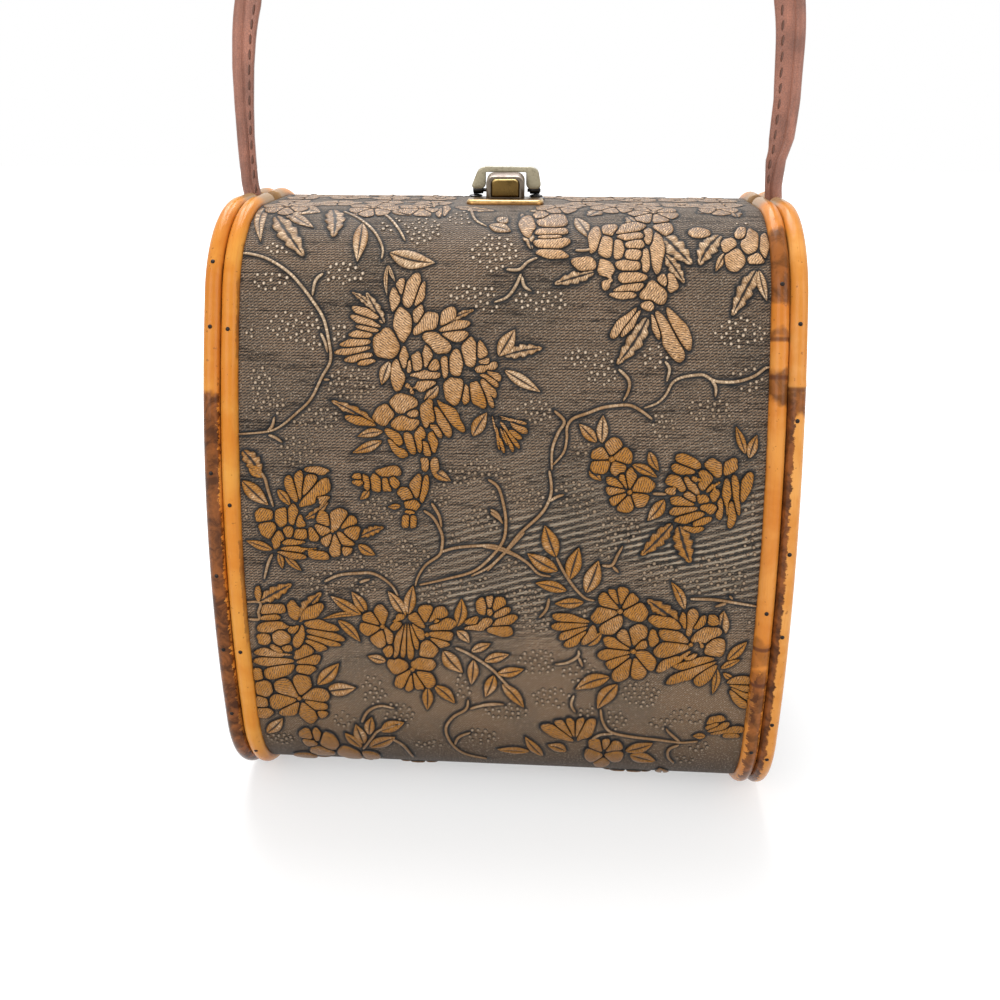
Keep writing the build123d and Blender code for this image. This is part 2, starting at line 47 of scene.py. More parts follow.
def objectMode():
    bpy.ops.object.mode_set(mode="OBJECT")


def deselectAll():
    if bpy.context.object and bpy.context.object.mode != "OBJECT":
        objectMode()
    bpy.ops.object.select_all(action="DESELECT")


def makeActive(piece):
    deselectAll()
    piece.select_set(True)
    bpy.context.view_layer.objects.active = piece


def addToScene(name, data):
    piece = bpy.data.objects.new(name, data)
    bpy.context.scene.collection.objects.link(piece)
    return piece


def buildMesh(name, points, faces, uvs=None, values=None):
    # points in metres, uvs one per face corner, values one number per point
    mesh = bpy.data.meshes.new(name)
    mesh.from_pydata([tuple(p) for p in points], [], [tuple(f) for f in faces])
    if uvs is not None:
        layer = mesh.uv_layers.new(name="flat")
        layer.data.foreach_set("uv", np.asarray(uvs, np.float32).ravel())
    for key, numbers in (values or {}).items():
        layer = mesh.attributes.new(key, "FLOAT", "POINT")
        layer.data.foreach_set("value", np.asarray(numbers, np.float32))
    mesh.polygons.foreach_set("use_smooth", [True] * len(mesh.polygons))
    return addToScene(name, mesh)


def closeMesh(piece, distance=1e-6, recalc=False):
    shape = bmesh.new()
    shape.from_mesh(piece.data)
    bmesh.ops.remove_doubles(shape, verts=shape.verts, dist=distance)
    bmesh.ops.dissolve_degenerate(shape, edges=shape.edges, dist=1e-7)
    if recalc:
        bmesh.ops.recalc_face_normals(shape, faces=shape.faces)
    shape.to_mesh(piece.data)
    shape.free()


def sweptFaces(along, around, corners):
    # faces and flat places of a closed tube: rows along it, columns round it, corners in order on a face
    columns = len(around) - 1
    faces, uvs = [], []
    for i in range(len(along) - 1):
        for j in range(columns):
            faces.append([(i + a) * columns + (j + b) % columns for a, b in corners])
            uvs += [(along[i + a] * 0.01, around[j + b]) for a, b in corners]
    onward = 1 if corners[1] == (1, 0) else -1
    for row, way in ((0, onward), (len(along) - 1, -onward)):
        faces.append([row * columns + j for j in range(columns)][::way])
        uvs += [(along[row] * 0.01, 0.0)] * columns
    return faces, uvs


def ballCopies(name, segments, rings, size, places):
    # one ball, stretched to half sizes in mm, copied to places in mm that each have three directions
    deselectAll()
    bpy.ops.mesh.primitive_uv_sphere_add(segments=segments, ring_count=rings, radius=1)
    model = bpy.context.object
    model.scale = tuple(v * mm for v in size)
    bpy.ops.object.transform_apply(scale=True)
    unit = np.array([v.co for v in model.data.vertices])
    plan = [tuple(p.vertices) for p in model.data.polygons]
    bpy.data.objects.remove(model)
    points = [np.array(place) * mm + unit @ np.array(directions) for place, directions in places]
    faces = [[copy * len(unit) + k for k in face] for copy in range(len(points)) for face in plan]
    piece = buildMesh(name, np.concatenate(points), faces)
    closeMesh(piece, 1e-7, recalc=True)
    return piece


def cubePiece(name, size, place):
    deselectAll()
    bpy.ops.mesh.primitive_cube_add(size=1, location=tuple(v * mm for v in place))
    piece = bpy.context.object
    piece.name = piece.data.name = name
    piece.scale = tuple(v * mm for v in size)
    bpy.ops.object.transform_apply(location=True, rotation=False, scale=True)
    return piece


def pick(piece, kind, wanted):
    # goes into edit mode with the faces, edges or vertices whose middle (in mm) and direction pass the test
    makeActive(piece)
    bpy.ops.object.mode_set(mode="EDIT")
    bpy.ops.mesh.select_mode(type=kind)
    bpy.ops.mesh.select_all(action="DESELECT")
    objectMode()
    mesh = piece.data
    if kind == "FACE":
        for face in mesh.polygons:
            face.select = bool(wanted(face.center / mm, face.normal))
    elif kind == "EDGE":
        for edge in mesh.edges:
            a, b = (mesh.vertices[k].co for k in edge.vertices)
            edge.select = bool(wanted((a + b) / 2 / mm, (b - a).normalized()))
    else:
        for vertex in mesh.vertices:
            vertex.select = bool(wanted(vertex.co / mm, None))
    bpy.ops.object.mode_set(mode="EDIT")


def pullOut(piece, wanted, way):
    # extrudes the wanted faces by a distance in mm
    pick(piece, "FACE", wanted)
    bpy.ops.mesh.extrude_region_move(TRANSFORM_OT_translate={"value": tuple(v * mm for v in way)})
    objectMode()


def shift(piece, wanted, way):
    # moves the wanted vertices by a distance in mm
    pick(piece, "VERT", wanted)
    bpy.ops.transform.translate(value=tuple(v * mm for v in way))
    objectMode()


def roundEdges(piece, wanted, offset, segments=5):
    pick(piece, "EDGE", wanted)
    bpy.ops.mesh.bevel(offset=offset * mm, segments=segments, affect="EDGES")
    objectMode()


def soften(piece, width, segments=3, angle=45):
    bevel = piece.modifiers.new("edges", "BEVEL")
    bevel.width, bevel.segments = width * mm, segments
    bevel.limit_method, bevel.angle_limit = "ANGLE", math.radians(angle)
    makeActive(piece)
    bpy.ops.object.modifier_apply(modifier="edges")
    bpy.ops.object.shade_smooth_by_angle(angle=math.radians(50))


def joined(parts, name, softness):
    deselectAll()
    for part in parts:
        part.select_set(True)
    bpy.context.view_layer.objects.active = parts[0]
    bpy.ops.object.join()
    piece = bpy.context.object
    piece.name = piece.data.name = name
    soften(piece, softness, 2)
    return piece


def settle(piece, body, nodes=()):
    # last step for every piece: place into the mesh, then name what it rides on
    makeActive(piece)
    bpy.ops.object.transform_apply(location=True, rotation=True, scale=True)
    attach(piece, body)
    if nodes:
        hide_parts(*nodes)


def flipToBack(mesh):
    mesh.transform(Matrix.Scale(-1, 4, (0, 1, 0)))
    mesh.flip_normals()


def mirrored(piece, name):
    # the same piece on the back half
    twin = piece.copy()
    twin.data = piece.data.copy()
    twin.name = twin.data.name = name
    bpy.context.scene.collection.objects.link(twin)
    twin.parent = None
    twin.matrix_world = Matrix.Identity(4)
    for key in list(twin.keys()):
        del twin[key]
    flipToBack(twin.data)
    return twin


def paint(piece, material):
    piece.data.materials.clear()
    piece.data.materials.append(material)


def shade(colour, share):
    # a colour made darker or brighter, no channel past 1
    return tuple(min(1, v * share) for v in colour)


class Nodes:
    # short names for the nodes that a material or the world is built from
    def __init__(self, owner, last="Principled BSDF"):
        owner.use_nodes = True
        self.owner, self.tree = owner, owner.node_tree
        self.last = self.tree.nodes[last]

    def put(self, socket, value):
        if isinstance(value, bpy.types.NodeSocket):
            self.tree.links.new(value, socket)
        else:
            socket.default_value = value

    def add(self, kind, values=None, **inputs):
        # an input is named by its socket, or by i and its number
        made = self.tree.nodes.new("ShaderNode" + kind)
        for key, value in (values or {}).items():
            setattr(made, key, value)
        for key, value in inputs.items():
            numbered = key[0] == "i" and key[1:].isdigit()
            self.put(made.inputs[int(key[1:]) if numbered else key.replace("_", " ")], value)
        return made

    def finish(self, **sockets):
        for key, value in sockets.items():
            self.put(self.last.inputs[key.replace("_", " ")], value)
        return self.owner

    def calc(self, operation, a, b=0.0, clamp=False):
        return self.add("Math", {"operation": operation, "use_clamp": clamp}, i0=a, i1=b).outputs[0]

    def plus(self, a, b, clamp=False):
        return self.calc("ADD", a, b, clamp)

    def minus(self, a, b):
        return self.calc("SUBTRACT", a, b)

    def times(self, a, b):
        return self.calc("MULTIPLY", a, b)

    def apart(self, a, b=0.0):
        # distance between two values
        return self.calc("ABSOLUTE", self.minus(a, b))

    def swing(self, value, reach, middle=0.5):
        # a value about its middle, made larger or smaller
        return self.times(self.minus(value, middle), reach)

    def step(self, value, low, high):
        # 0 below low, 1 above high, smooth between
        inputs = {"Value": value, "From_Min": low, "From_Max": high}
        return self.add("MapRange", {"interpolation_type": "SMOOTHSTEP"}, **inputs).outputs[0]

    def mix(self, factor, a, b):
        made = self.add("Mix", {"data_type": "RGBA"}, i0=factor)
        for index, value in ((6, a), (7, b)):
            self.put(made.inputs[index], (*value, 1) if isinstance(value, tuple) else value)
        return made.outputs[2]

    def layered(self, colour, *layers):
        # colours laid one over another, each by a factor and a share of it
        for factor, share, over in layers:
            colour = self.mix(self.times(factor, share), colour, over)
        return colour

    def coords(self, source, scale, turn, place):
        made = self.add("Mapping", Vector=self.add("TexCoord").outputs[source])
        for key, value in (("Location", place), ("Rotation", turn), ("Scale", scale)):
            made.inputs[key].default_value = value
        return made.outputs[0]

    def flat(self, scale=(100, 100, 100), turn=0.0, place=(0, 0, 0)):
        # places on the flat sheet, which is stored as millimetres over 100
        return self.coords("UV", scale, (0, 0, turn), place)

    def body(self, scale=(1000, 1000, 1000), turn=(0, 0, 0), place=(0, 0, 0)):
        # places in space, in millimetres unless another scale is given
        return self.coords("Object", scale, turn, place)

    def split(self, coords):
        return self.add("SeparateXYZ", Vector=coords).outputs

    def height(self):
        # metres above the floor
        return self.split(self.body((1, 1, 1)))[2]

    def noise(self, coords, scale=1.0, detail=3.0, rough=0.5, distortion=0.0):
        return self.add("TexNoise", Vector=coords, Scale=scale, Detail=detail, Roughness=rough,
                        Distortion=distortion).outputs[0]

    def wave(self, coords, period, direction="X", distortion=0.0, detail=0.0, detailScale=1.0):
        # a wave texture repeats every 0.314 units at scale 1
        return self.add("TexWave", {"bands_direction": direction}, Vector=coords, Scale=0.31416 / period,
                        Distortion=distortion, Detail=detail, Detail_Scale=detailScale).outputs[1]

    def bump(self, height, strength, distance):
        return self.add("Bump", Height=height, Strength=strength, Distance=distance).outputs[0]

    def attribute(self, name):
        return self.add("Attribute", {"attribute_name": name}).outputs["Fac"]


def newMaterial(name, roughness, metallic=0.0, **sockets):
    look = Nodes(bpy.data.materials.new(name))
    look.finish(Roughness=roughness, Metallic=metallic, **sockets)
    return look


case = {
    "corners": ((72, -0.3), (84, 123), (47, 233)),  # half depth and height of the side profile
    "radii": (42, 350, 43),
    "base": -0.3,
    "top": 233.0,
    "coverInset": 3.0,
    "sheetHalfWidth": 93.8,  # tucked a little under the canes
    "coverThickness": 3.7,
    "arcStep": 0.8,
}


def runLength(line):
    # distances from the start of a line to each of its points
    return np.concatenate([[0], np.cumsum(np.hypot(*np.diff(line, axis=0).T))])


def insetLine(inset):
    # profile of the back half in (y, z), set in by a distance, arcs divided finely
    corners = [Vector((0, case["base"])), *map(Vector, case["corners"]), Vector((0, case["top"]))]
    moved = [Vector((0, case["base"] + inset))]
    for before, corner, after in zip(corners, corners[1:], corners[2:]):
        arriving, leaving = (corner - before).normalized(), (after - corner).normalized()
        first, second = Vector((-arriving.y, arriving.x)), Vector((-leaving.y, leaving.x))
        moved.append(corner + (first + second) * (inset / (1 + first.dot(second))))
    moved.append(Vector((0, case["top"] - inset)))
    points = [moved[0]]
    for index, radius in enumerate(case["radii"]):
        before, corner, after = moved[index:index + 3]
        arriving, leaving = (corner - before).normalized(), (after - corner).normalized()
        bend = math.acos(max(-1, min(1, arriving.dot(leaving))))
        size = radius - inset
        start = corner - arriving * size * math.tan(bend / 2)
        middle = start + Vector((-arriving.y, arriving.x)) * size
        away = start - middle
        steps = max(6, int(bend * size / case["arcStep"]))
        for step in range(steps + 1):
            sin, cos = math.sin(bend * step / steps), math.cos(bend * step / steps)
            points.append(middle + Vector((away.x * cos - away.y * sin, away.x * sin + away.y * cos)))
    points.append(moved[-1])
    line = np.array(points)
    return line, runLength(line)


class Profile:
    # turns a distance along the profile into a place and an outward direction
    def __init__(self, inset):
        line, along = insetLine(inset)
        self.length = along[-1]
        self.s = np.arange(0, self.length, 0.25)
        self.y = np.interp(self.s, along, line[:, 0])
        self.z = np.interp(self.s, along, line[:, 1])
        ty, tz = np.gradient(self.y), np.gradient(self.z)
        size = np.hypot(ty, tz)
        self.ny, self.nz = tz / size, -ty / size

    def outward(self, s):
        return np.interp(s, self.s, self.ny), np.interp(s, self.s, self.nz)

    def at(self, s, height=0.0):
        ny, nz = self.outward(s)
        return np.interp(s, self.s, self.y) + ny * height, np.interp(s, self.s, self.z) + nz * height


coverLine = Profile(case["coverInset"])
print("profile:", round(coverLine.length, 1), "mm along the cover")


def onCover(x, s, height):
    # flat pattern coordinates in mm to points in metres on the front cover
    y, z = coverLine.at(np.asarray(s, float), np.asarray(height, float))
    return np.stack([np.asarray(x, float), -y, z], axis=-1) * mm


# brocade: places are across the bag and along the cover from the middle of the base, in mm
# petals and leaves: x, s, length, width, direction in degrees
roundPetals = (
    (-30.2, 309.6, 4.7, 17.1, 4), (-26.2, 299.3, 3, 9.4, 1), (-24.2, 301.7, 3.1, 12.8, 2),
    (-34.7, 243, 11.9, 5.4, 91), (-40.2, 237, 10.1, 9.1, 91), (-29.1, 232.5, 6.5, 4.3, 91),
    (-25.8, 233.7, 7.9, 2.9, 91), (-25.5, 234, 4.3, 4.3, 1), (-33.3, 226.4, 4.4, 3.2, 1),
    (-32, 232.5, 4.3, 2.5, 91), (-10.3, 234.9, 9.7, 5, 91), (-6.5, 236.2, 7.1, 3.6, 91),
    (-15.3, 230.6, 9.3, 4.3, 91), (-19.3, 230.9, 7.2, 2, 91), (-15.7, 221.7, 9.3, 6.1, 91),
    (-38.7, 220.8, 9.5, 6.5, 1), (-44.3, 217.1, 7.3, 6.9, 1), (-32.9, 217.3, 4.4, 4.3, 1),
    (-23.3, 203.3, 9.5, 2.9, 90), (-24.8, 212.4, 10.1, 5.4, 91), (-27.3, 199.9, 4.4, 4.4, 1),
    (8.2, 282.7, 13.6, 5.5, 92), (12.4, 282.8, 9.3, 4.3, 1), (10.4, 296.4, 6.3, 7.9, 1),
    (33.6, 286.5, 8.5, 7.3, 1), (39, 283.7, 13, 6.1, 1), (36.3, 274, 10.9, 6.1, 90),
    (40.8, 273.8, 9.1, 4.6, 90), (42.7, 275.4, 6.8, 5.4, 1), (49.9, 268.7, 9.6, 3.4, 89),
    (40.1, 271, 9, 4.2, 1), (54, 267.9, 19, 4.7, 89), (50.7, 279.2, 8.8, 5.3, 88),
    (39, 266.1, 11.3, 4.7, 1), (34.5, 265.3, 6.8, 7.1, 1), (37.6, 260.7, 9.7, 3.8, 1),
    (47.9, 260.8, 9.3, 8.4, 1), (48.9, 257.8, 5.2, 4.5, 1), (54.4, 265.5, 4.5, 4.7, 1),
    (53.7, 288.1, 6.9, 7.7, 1), (65.1, 285.8, 8.4, 5.9, 1), (78.5, 276.3, 6.9, 4.5, 86),
    (80.5, 268.7, 9.6, 6.3, 88), (86.3, 276, 12.7, 5.7, 85), (86.1, 274.2, 4.8, 4.4, 1),
    (82.2, 286.1, 4.6, 7.2, 1), (91.1, 274.3, 12, 3, 85), (-67.3, 186.4, 6.7, 3.8, 2),
    (-88.3, 179.3, 6.4, 5.4, 2), (-86.8, 173.9, 6, 6.2, 2), (-78.3, 175.7, 6.9, 3.8, 88),
    (-74.3, 176.2, 6.9, 3.1, 88), (-71.7, 174.8, 4.6, 3, 88), (-55.9, 173.7, 6.3, 6.2, 2),
    (-74.8, 172.3, 6, 4.7, 2), (-68.8, 172.5, 4.5, 4.7, 2), (-77.8, 173, 4.5, 3.9, 2),
    (-57, 167, 4.5, 3.9, 2), (-33.2, 184.3, 5.2, 3.8, 2), (-32.9, 182, 3, 2.3, 2),
    (-90, 129.8, 5.5, 5.3, 2), (-81.7, 126.1, 9.7, 7, 86), (-86.9, 134.3, 4.7, 3.5, 2),
    (-80.3, 134.9, 7, 4.8, 2), (-82.1, 125.6, 4.7, 4.5, 2), (-76.5, 117.7, 7.9, 5.6, 2),
    (-70.3, 96.8, 4.8, 5, 3), (-93.2, 107.5, 6.4, 7.8, 3), (-91.4, 110.5, 5.7, 4, 85),
    (-94, 100.6, 4.8, 5, 3), (-95, 95.1, 7.3, 5.1, 3), (-67.6, 74.3, 13.1, 7, 82),
    (-77.6, 80.9, 6.6, 7.3, 4), (-75.3, 72.4, 9.3, 9.9, 6), (-83.8, 64.2, 10.1, 10.9, 14),
    (-64.1, 70, 9.4, 15.7, 7), (-55, 69.9, 7.7, 10.4, 7), (-40.5, 138.6, 6.1, 6, 2),
    (-42.5, 126.4, 4.6, 5.3, 2), (-29.6, 127.8, 7.3, 7.5, 2), (-24.6, 140.1, 4.5, 4.2, 2),
    (-11.3, 139.7, 5.3, 4.2, 2), (-4.5, 145, 3.7, 4.1, 2), (-41.4, 120.1, 7.4, 7.3, 2),
    (-31.9, 121, 9.3, 5, 2), (58.9, 193.1, 6, 4.7, 1), (65.9, 196.4, 9, 4.6, 1),
    (76.1, 188.1, 9.3, 4.5, 93), (70.9, 186.3, 7.5, 3.5, 2), (69.6, 189.4, 5.3, 3.1, 2),
    (78.6, 182.2, 8.6, 3.8, 93), (81.8, 179.1, 11.8, 5.6, 93), (78.4, 141, 5.3, 3.9, 94),
    (57.4, 132.6, 6.3, 3.9, 93), (79.6, 128.5, 10.9, 8.6, 94), (65.1, 127.9, 8.7, 5.5, 2),
    (83.5, 94.1, 8.9, 4.2, 3),
)
rayPetals = (
    (-33.5, 254.7, 13.3, 5.5, 72), (-29.9, 255.5, 9.1, 2.9, 73), (-35.4, 259.8, 5.5, 2.5, 92),
    (-37.8, 254, 7.2, 3.3, 91), (-29.4, 249.1, 6.6, 2.9, 79), (-42.5, 251, 11, 3, 160),
    (-42.8, 248.1, 10.4, 2.9, 163), (-42.4, 246.3, 8.6, 2.2, 169), (-30, 245.8, 10.2, 6.1, 43),
    (-21, 247, 11.2, 3.2, 16), (-20.3, 245.6, 8.7, 3.6, -1), (-21.1, 249.2, 7.9, 4.3, 51),
    (-27.5, 246.6, 11.8, 5.4, -36), (-45.2, 245.2, 7.7, 2.9, 178), (-45.9, 242.7, 10.6, 3, -173),
    (-45.9, 240.5, 13.3, 2.6, -171), (-45.5, 238, 9, 2.7, -165), (-44.7, 235.5, 5.8, 2.5, -179),
    (-36.4, 236, 10.1, 4.4, -89), (-33.9, 240.4, 7.2, 2.9, -83), (-30.9, 231.1, 10.2, 3.2, 5),
    (-33, 226, 10.4, 3, 13), (-8.5, 232.9, 8.4, 4.3, 21), (-7, 231.9, 8.3, 3.6, -24),
    (-9.2, 229.3, 9.7, 5.8, -67), (-5.9, 230.1, 9.1, 3.2, -63), (-11.7, 227.8, 6.8, 2.5, -92),
    (-38.7, 214.3, 10.9, 5.4, 1), (-27.8, 213.5, 9.8, 4.4, -90), (-44.2, 213.1, 11.4, 2.9, 165),
    (-39.8, 211.4, 8.5, 3.7, -50), (-39.4, 209.2, 10, 4.1, -49), (-32.8, 210.8, 8, 3.7, -65),
    (-27.7, 209.5, 8.1, 3.7, -63), (-23.5, 221.1, 13.9, 3.6, -61), (-21.3, 222.3, 14.6, 3.6, -49),
    (-25.6, 215.3, 7.9, 3.3, -46), (-1.8, 216.5, 13.4, 3.3, -75), (-1, 217.3, 8.7, 4, -13),
    (1.2, 213.7, 9.7, 3.3, -67), (2.2, 213.7, 7.3, 3.3, -43), (-21.1, 197.3, 5.8, 4.4, 134),
    (-60.1, 196.3, 8.9, 3, 178), (11.4, 291.5, 11.1, 12, 9), (10.8, 285, 12.5, 5.9, 6),
    (10.2, 279.7, 13.9, 6.1, 5), (11.1, 275.9, 11.5, 4.1, -6), (31.7, 276.1, 13.1, 5.8, 81),
    (37.9, 284.3, 13.7, 7.2, 25), (42.4, 279.1, 8.7, 6, 14), (34.8, 273.5, 12.2, 6.1, -68),
    (37.9, 261.4, 13, 4.6, 11), (32.5, 270.9, 7.6, 5.5, 174), (57.4, 268, 6.9, 4.5, -64),
    (47, 255.5, 13.8, 4.5, -129), (48.2, 254.8, 11.5, 3.4, -127), (53.9, 254.9, 20.6, 6.3, -62),
    (58.2, 255.7, 16.1, 5.6, -61), (52.7, 253.3, 8.7, 3, -71), (-5.4, 234.2, 8.3, 3, -42),
    (-6.1, 231.2, 11.1, 4.6, -67), (-7.8, 237.2, 5.8, 3.8, -22), (-2.1, 217.5, 14.2, 3.2, -77),
    (-1.3, 217.6, 11.5, 3.8, -14), (0.2, 216.1, 11.8, 3.5, -53), (2.5, 216.1, 9.2, 3.1, -29),
    (0.3, 213.8, 9.3, 2.7, -65), (39.3, 204.7, 6.5, 5.3, 71), (40.8, 203.9, 6.5, 5, 8),
    (38.5, 203.9, 5.9, 4.6, 166), (38.6, 201.6, 6.5, 5, -158), (40.9, 201.6, 5.6, 5.3, -55),
    (-71.8, 184.7, 10.6, 4.6, 114), (-71.4, 184.7, 11.3, 4.5, 92), (-70.6, 186.3, 10.3, 5.1, 63),
    (-71.5, 183.2, 14.8, 6.6, 38), (-59.8, 174.3, 9.4, 6.2, 65), (-60.5, 175.9, 6.3, 4.7, 134),
    (-60.5, 174.3, 6, 4.7, -178), (-60.2, 172.8, 5.2, 4.1, -122), (-59.1, 172.8, 8.6, 4.9, -87),
    (-57.9, 173.6, 7.3, 4.7, -46), (-56.8, 175.2, 7.3, 4.5, 34), (-81.1, 167.5, 6.1, 4.4, 66),
    (-79.5, 169.1, 9.8, 3.1, 2), (-78.8, 166.7, 15.9, 4, 2), (-72.7, 168.5, 12.1, 4.8, -23),
    (-79.7, 165.1, 9.9, 3.2, -7), (-48.3, 193.6, 3.9, 3, 159), (-46.8, 192.2, 5.2, 3, 173),
    (-44.6, 195.2, 6.1, 4.5, -77), (-48.3, 195.1, 5.6, 3.7, -67), (-40.2, 194.6, 5.3, 3.7, -82),
    (-37.2, 196.1, 5.3, 3.7, -98), (-43.1, 196.7, 8.8, 4.5, -3), (-28.8, 187.4, 8.2, 4.4, 90),
    (-27.4, 185.9, 9.2, 3.3, 78), (-30.7, 187.4, 4.9, 3.8, 154), (-32.2, 181.3, 5.6, 2.8, -106),
    (-30.7, 181.3, 5.4, 2.5, -83), (-88.3, 141.1, 9.6, 5, 12), (-88.1, 138.5, 7.4, 3.3, 15),
    (-88.8, 145.3, 6.7, 2.7, 86), (-75, 138.2, 8.5, 3.9, 97), (-72.7, 139.1, 10.8, 4, 35),
    (-74.4, 135.6, 16.4, 5.2, -175), (-72.8, 136.5, 11.7, 3.8, -101), (-72.1, 136.6, 13.1, 3.9, -5),
    (-71.4, 134, 15.2, 4, -13), (-71.6, 131.4, 13.3, 3.6, -13), (-72.5, 129.6, 8.9, 4.1, -21),
    (-76.1, 123.2, 15.6, 5, 176), (-76.3, 120.5, 16.6, 4.6, -178), (-76.4, 118.6, 14.1, 5.4, -158),
    (-78.5, 122.2, 9, 4.6, 146), (-77, 121.3, 10, 6.5, 41), (-76.4, 119.5, 9.8, 5.8, 13),
    (-76, 104.4, 10, 7, 76), (-76.5, 103.5, 10.6, 7.2, 136), (-75.3, 103.5, 11.6, 7.2, 12),
    (-77, 102.5, 10.9, 7.8, -167), (-76.3, 101.5, 10.1, 6.2, -141), (-75.5, 101.5, 10.1, 6.9, -67),
    (-74.6, 102.6, 10.2, 6, -26), (-72.9, 79.8, 9.3, 6.2, 114), (-72, 79.9, 8.9, 4.1, 83),
    (-42.5, 137.7, 8.4, 5, 96), (-43.6, 137.6, 7.2, 5.1, 146), (-43.7, 135.9, 7.7, 5.6, -178),
    (-42.2, 135.1, 7.5, 6.8, -110), (-41.4, 136, 7, 3.6, -80), (-40.6, 137.8, 7.2, 4.9, 30),
    (-34.4, 138.8, 17.4, 3.4, -105), (-33.7, 138.9, 15.9, 3.2, -97), (-32.9, 138.9, 15.7, 3.2, -88),
    (-32.2, 138.9, 12.4, 3.3, -76), (-31.8, 138.9, 8.6, 3.3, -62), (-27.6, 137.4, 6.2, 4.9, 127),
    (-26.8, 139.1, 7.6, 6, 83), (-25.3, 139.2, 9.2, 5.5, 42), (-24.6, 136.7, 9.6, 5.8, 18),
    (-24.7, 134.1, 8.4, 5.6, -4), (-24.7, 132.4, 7.2, 4.4, -19), (-4.2, 143.3, 6.9, 4.6, 109),
    (-2.7, 144.2, 6.6, 3.7, 90), (-1.9, 144.3, 7.4, 5.4, 53), (-1.2, 142.6, 6.3, 4.4, 34),
    (-11.7, 137.2, 11, 4.6, 16), (-2.7, 138.4, 11.4, 4.1, 24), (-4.2, 137.4, 10.6, 5.1, -7),
    (-32.8, 117.8, 9.4, 5.3, -125), (-32.5, 116.8, 8.6, 3.9, -100), (-30.9, 117.4, 9.2, 6.8, -38),
    (-31.3, 117.4, 8.3, 5, -70), (43.8, 147.6, 8.7, 5.4, 142), (44.1, 148.5, 7.1, 4.4, 118),
    (44.9, 148.5, 7.8, 5.1, 84), (45.7, 147.7, 6.9, 5.8, 50), (46.6, 146, 7.8, 7.4, 8),
    (43.5, 145.4, 9.2, 6.6, -167), (44.3, 144.2, 8.3, 6.3, -129), (49.5, 131.8, 7.5, 5.8, 124),
    (49.9, 131.8, 9, 7.6, 75), (48.8, 130.9, 10.2, 4.5, 161), (48.8, 129.5, 12.4, 5.1, -171),
    (48.9, 128.1, 9.9, 5, -149), (49.7, 127.2, 12.2, 6.4, -119), (50.5, 127.2, 9.8, 6.5, -73),
    (51.6, 130.1, 9.6, 5.1, -49), (51.1, 131, 5.5, 4.2, 58), (34.2, 141.1, 14.9, 4, 170),
    (34.2, 140.7, 14.7, 4.4, -173), (34.2, 139.8, 12.9, 4.4, -155), (34.6, 138.9, 12.6, 4.8, -140),
    (35, 140.3, 9.1, 4.9, -114), (45.7, 192.3, 8, 3.8, 114), (46.4, 192.4, 7.4, 4.5, 92),
    (47.2, 192, 8.2, 6.2, 24), (47.3, 190.8, 6.4, 5.8, -32), (46.5, 190.4, 7, 6.5, -114),
    (45.7, 190.8, 6.7, 5.1, -147), (45.3, 191.9, 7.2, 4.3, -178), (44.9, 192.7, 6.8, 3.9, 154),
    (66.9, 192.5, 8.5, 6.9, 154), (70.7, 191, 8.8, 5.3, 129), (70.6, 192.6, 7.9, 8.4, 64),
    (72.9, 191.9, 7, 5.4, 44), (70, 188.7, 6, 3.8, 141), (69.4, 187.1, 8.7, 3.9, 166),
    (70.9, 186.3, 10.7, 4, -170), (73.2, 184.8, 11, 4, -162), (74.9, 182.5, 8.3, 3.2, -153),
    (81, 180.3, 17.2, 4.5, 93), (84.6, 183.6, 14.9, 3.7, 99), (85.1, 188.3, 12.1, 4.2, 75),
    (77.2, 196.6, 8.3, 5.2, 114), (79.4, 198.3, 7.1, 3.8, 61), (71, 200.4, 10.2, 4.6, 154),
    (69.6, 198.8, 9.3, 4.2, 167), (65.9, 179.1, 7.2, 3.6, -2), (67.5, 140.6, 12.6, 4.8, 166),
    (68.8, 138.9, 8, 3.5, 99), (69.7, 137.1, 11.5, 5.9, 84), (70.3, 139, 8.1, 3.4, 51),
    (70.2, 134.5, 12.3, 5.3, 161), (70.6, 134.5, 12.4, 8.5, 23), (70.3, 132.7, 12.3, 7.3, -169),
    (71.6, 130.9, 15.6, 6.8, -141), (80.4, 128.5, 20.9, 5.6, -165), (80.6, 126.7, 21, 4.7, -151),
    (80.6, 125.7, 12.2, 5.3, -126), (76.3, 132, 6.7, 4.1, 129), (84.8, 117.9, 9.5, 4.8, 11),
    (85.3, 116.9, 9.1, 4.8, -13), (85.7, 116.5, 10.4, 4.6, -32), (86.2, 115.5, 11.5, 4.3, -52),
    (29.6, 88, 14.8, 5.8, 151), (29.6, 88.6, 11.7, 4.6, 128), (29.7, 88.6, 10.8, 4.1, 103),
    (30, 88.6, 11, 4.2, 78), (30.4, 88, 12.9, 5.5, 59), (40.2, 82.3, 7.1, 6.2, 120),
    (41, 83, 6.4, 5.3, 77), (41.9, 82.4, 7.8, 7, 44), (42, 79.4, 6.7, 9.8, 4),
    (40.3, 79.3, 6.7, 10.2, -175), (41.2, 77.7, 9.8, 6.1, -97), (78.9, 96, 6.9, 5, 40),
    (79.8, 95, 8.6, 5.2, 24), (80.7, 94, 13.8, 5.2, 12), (78.7, 98, 8.2, 4, 33),
)
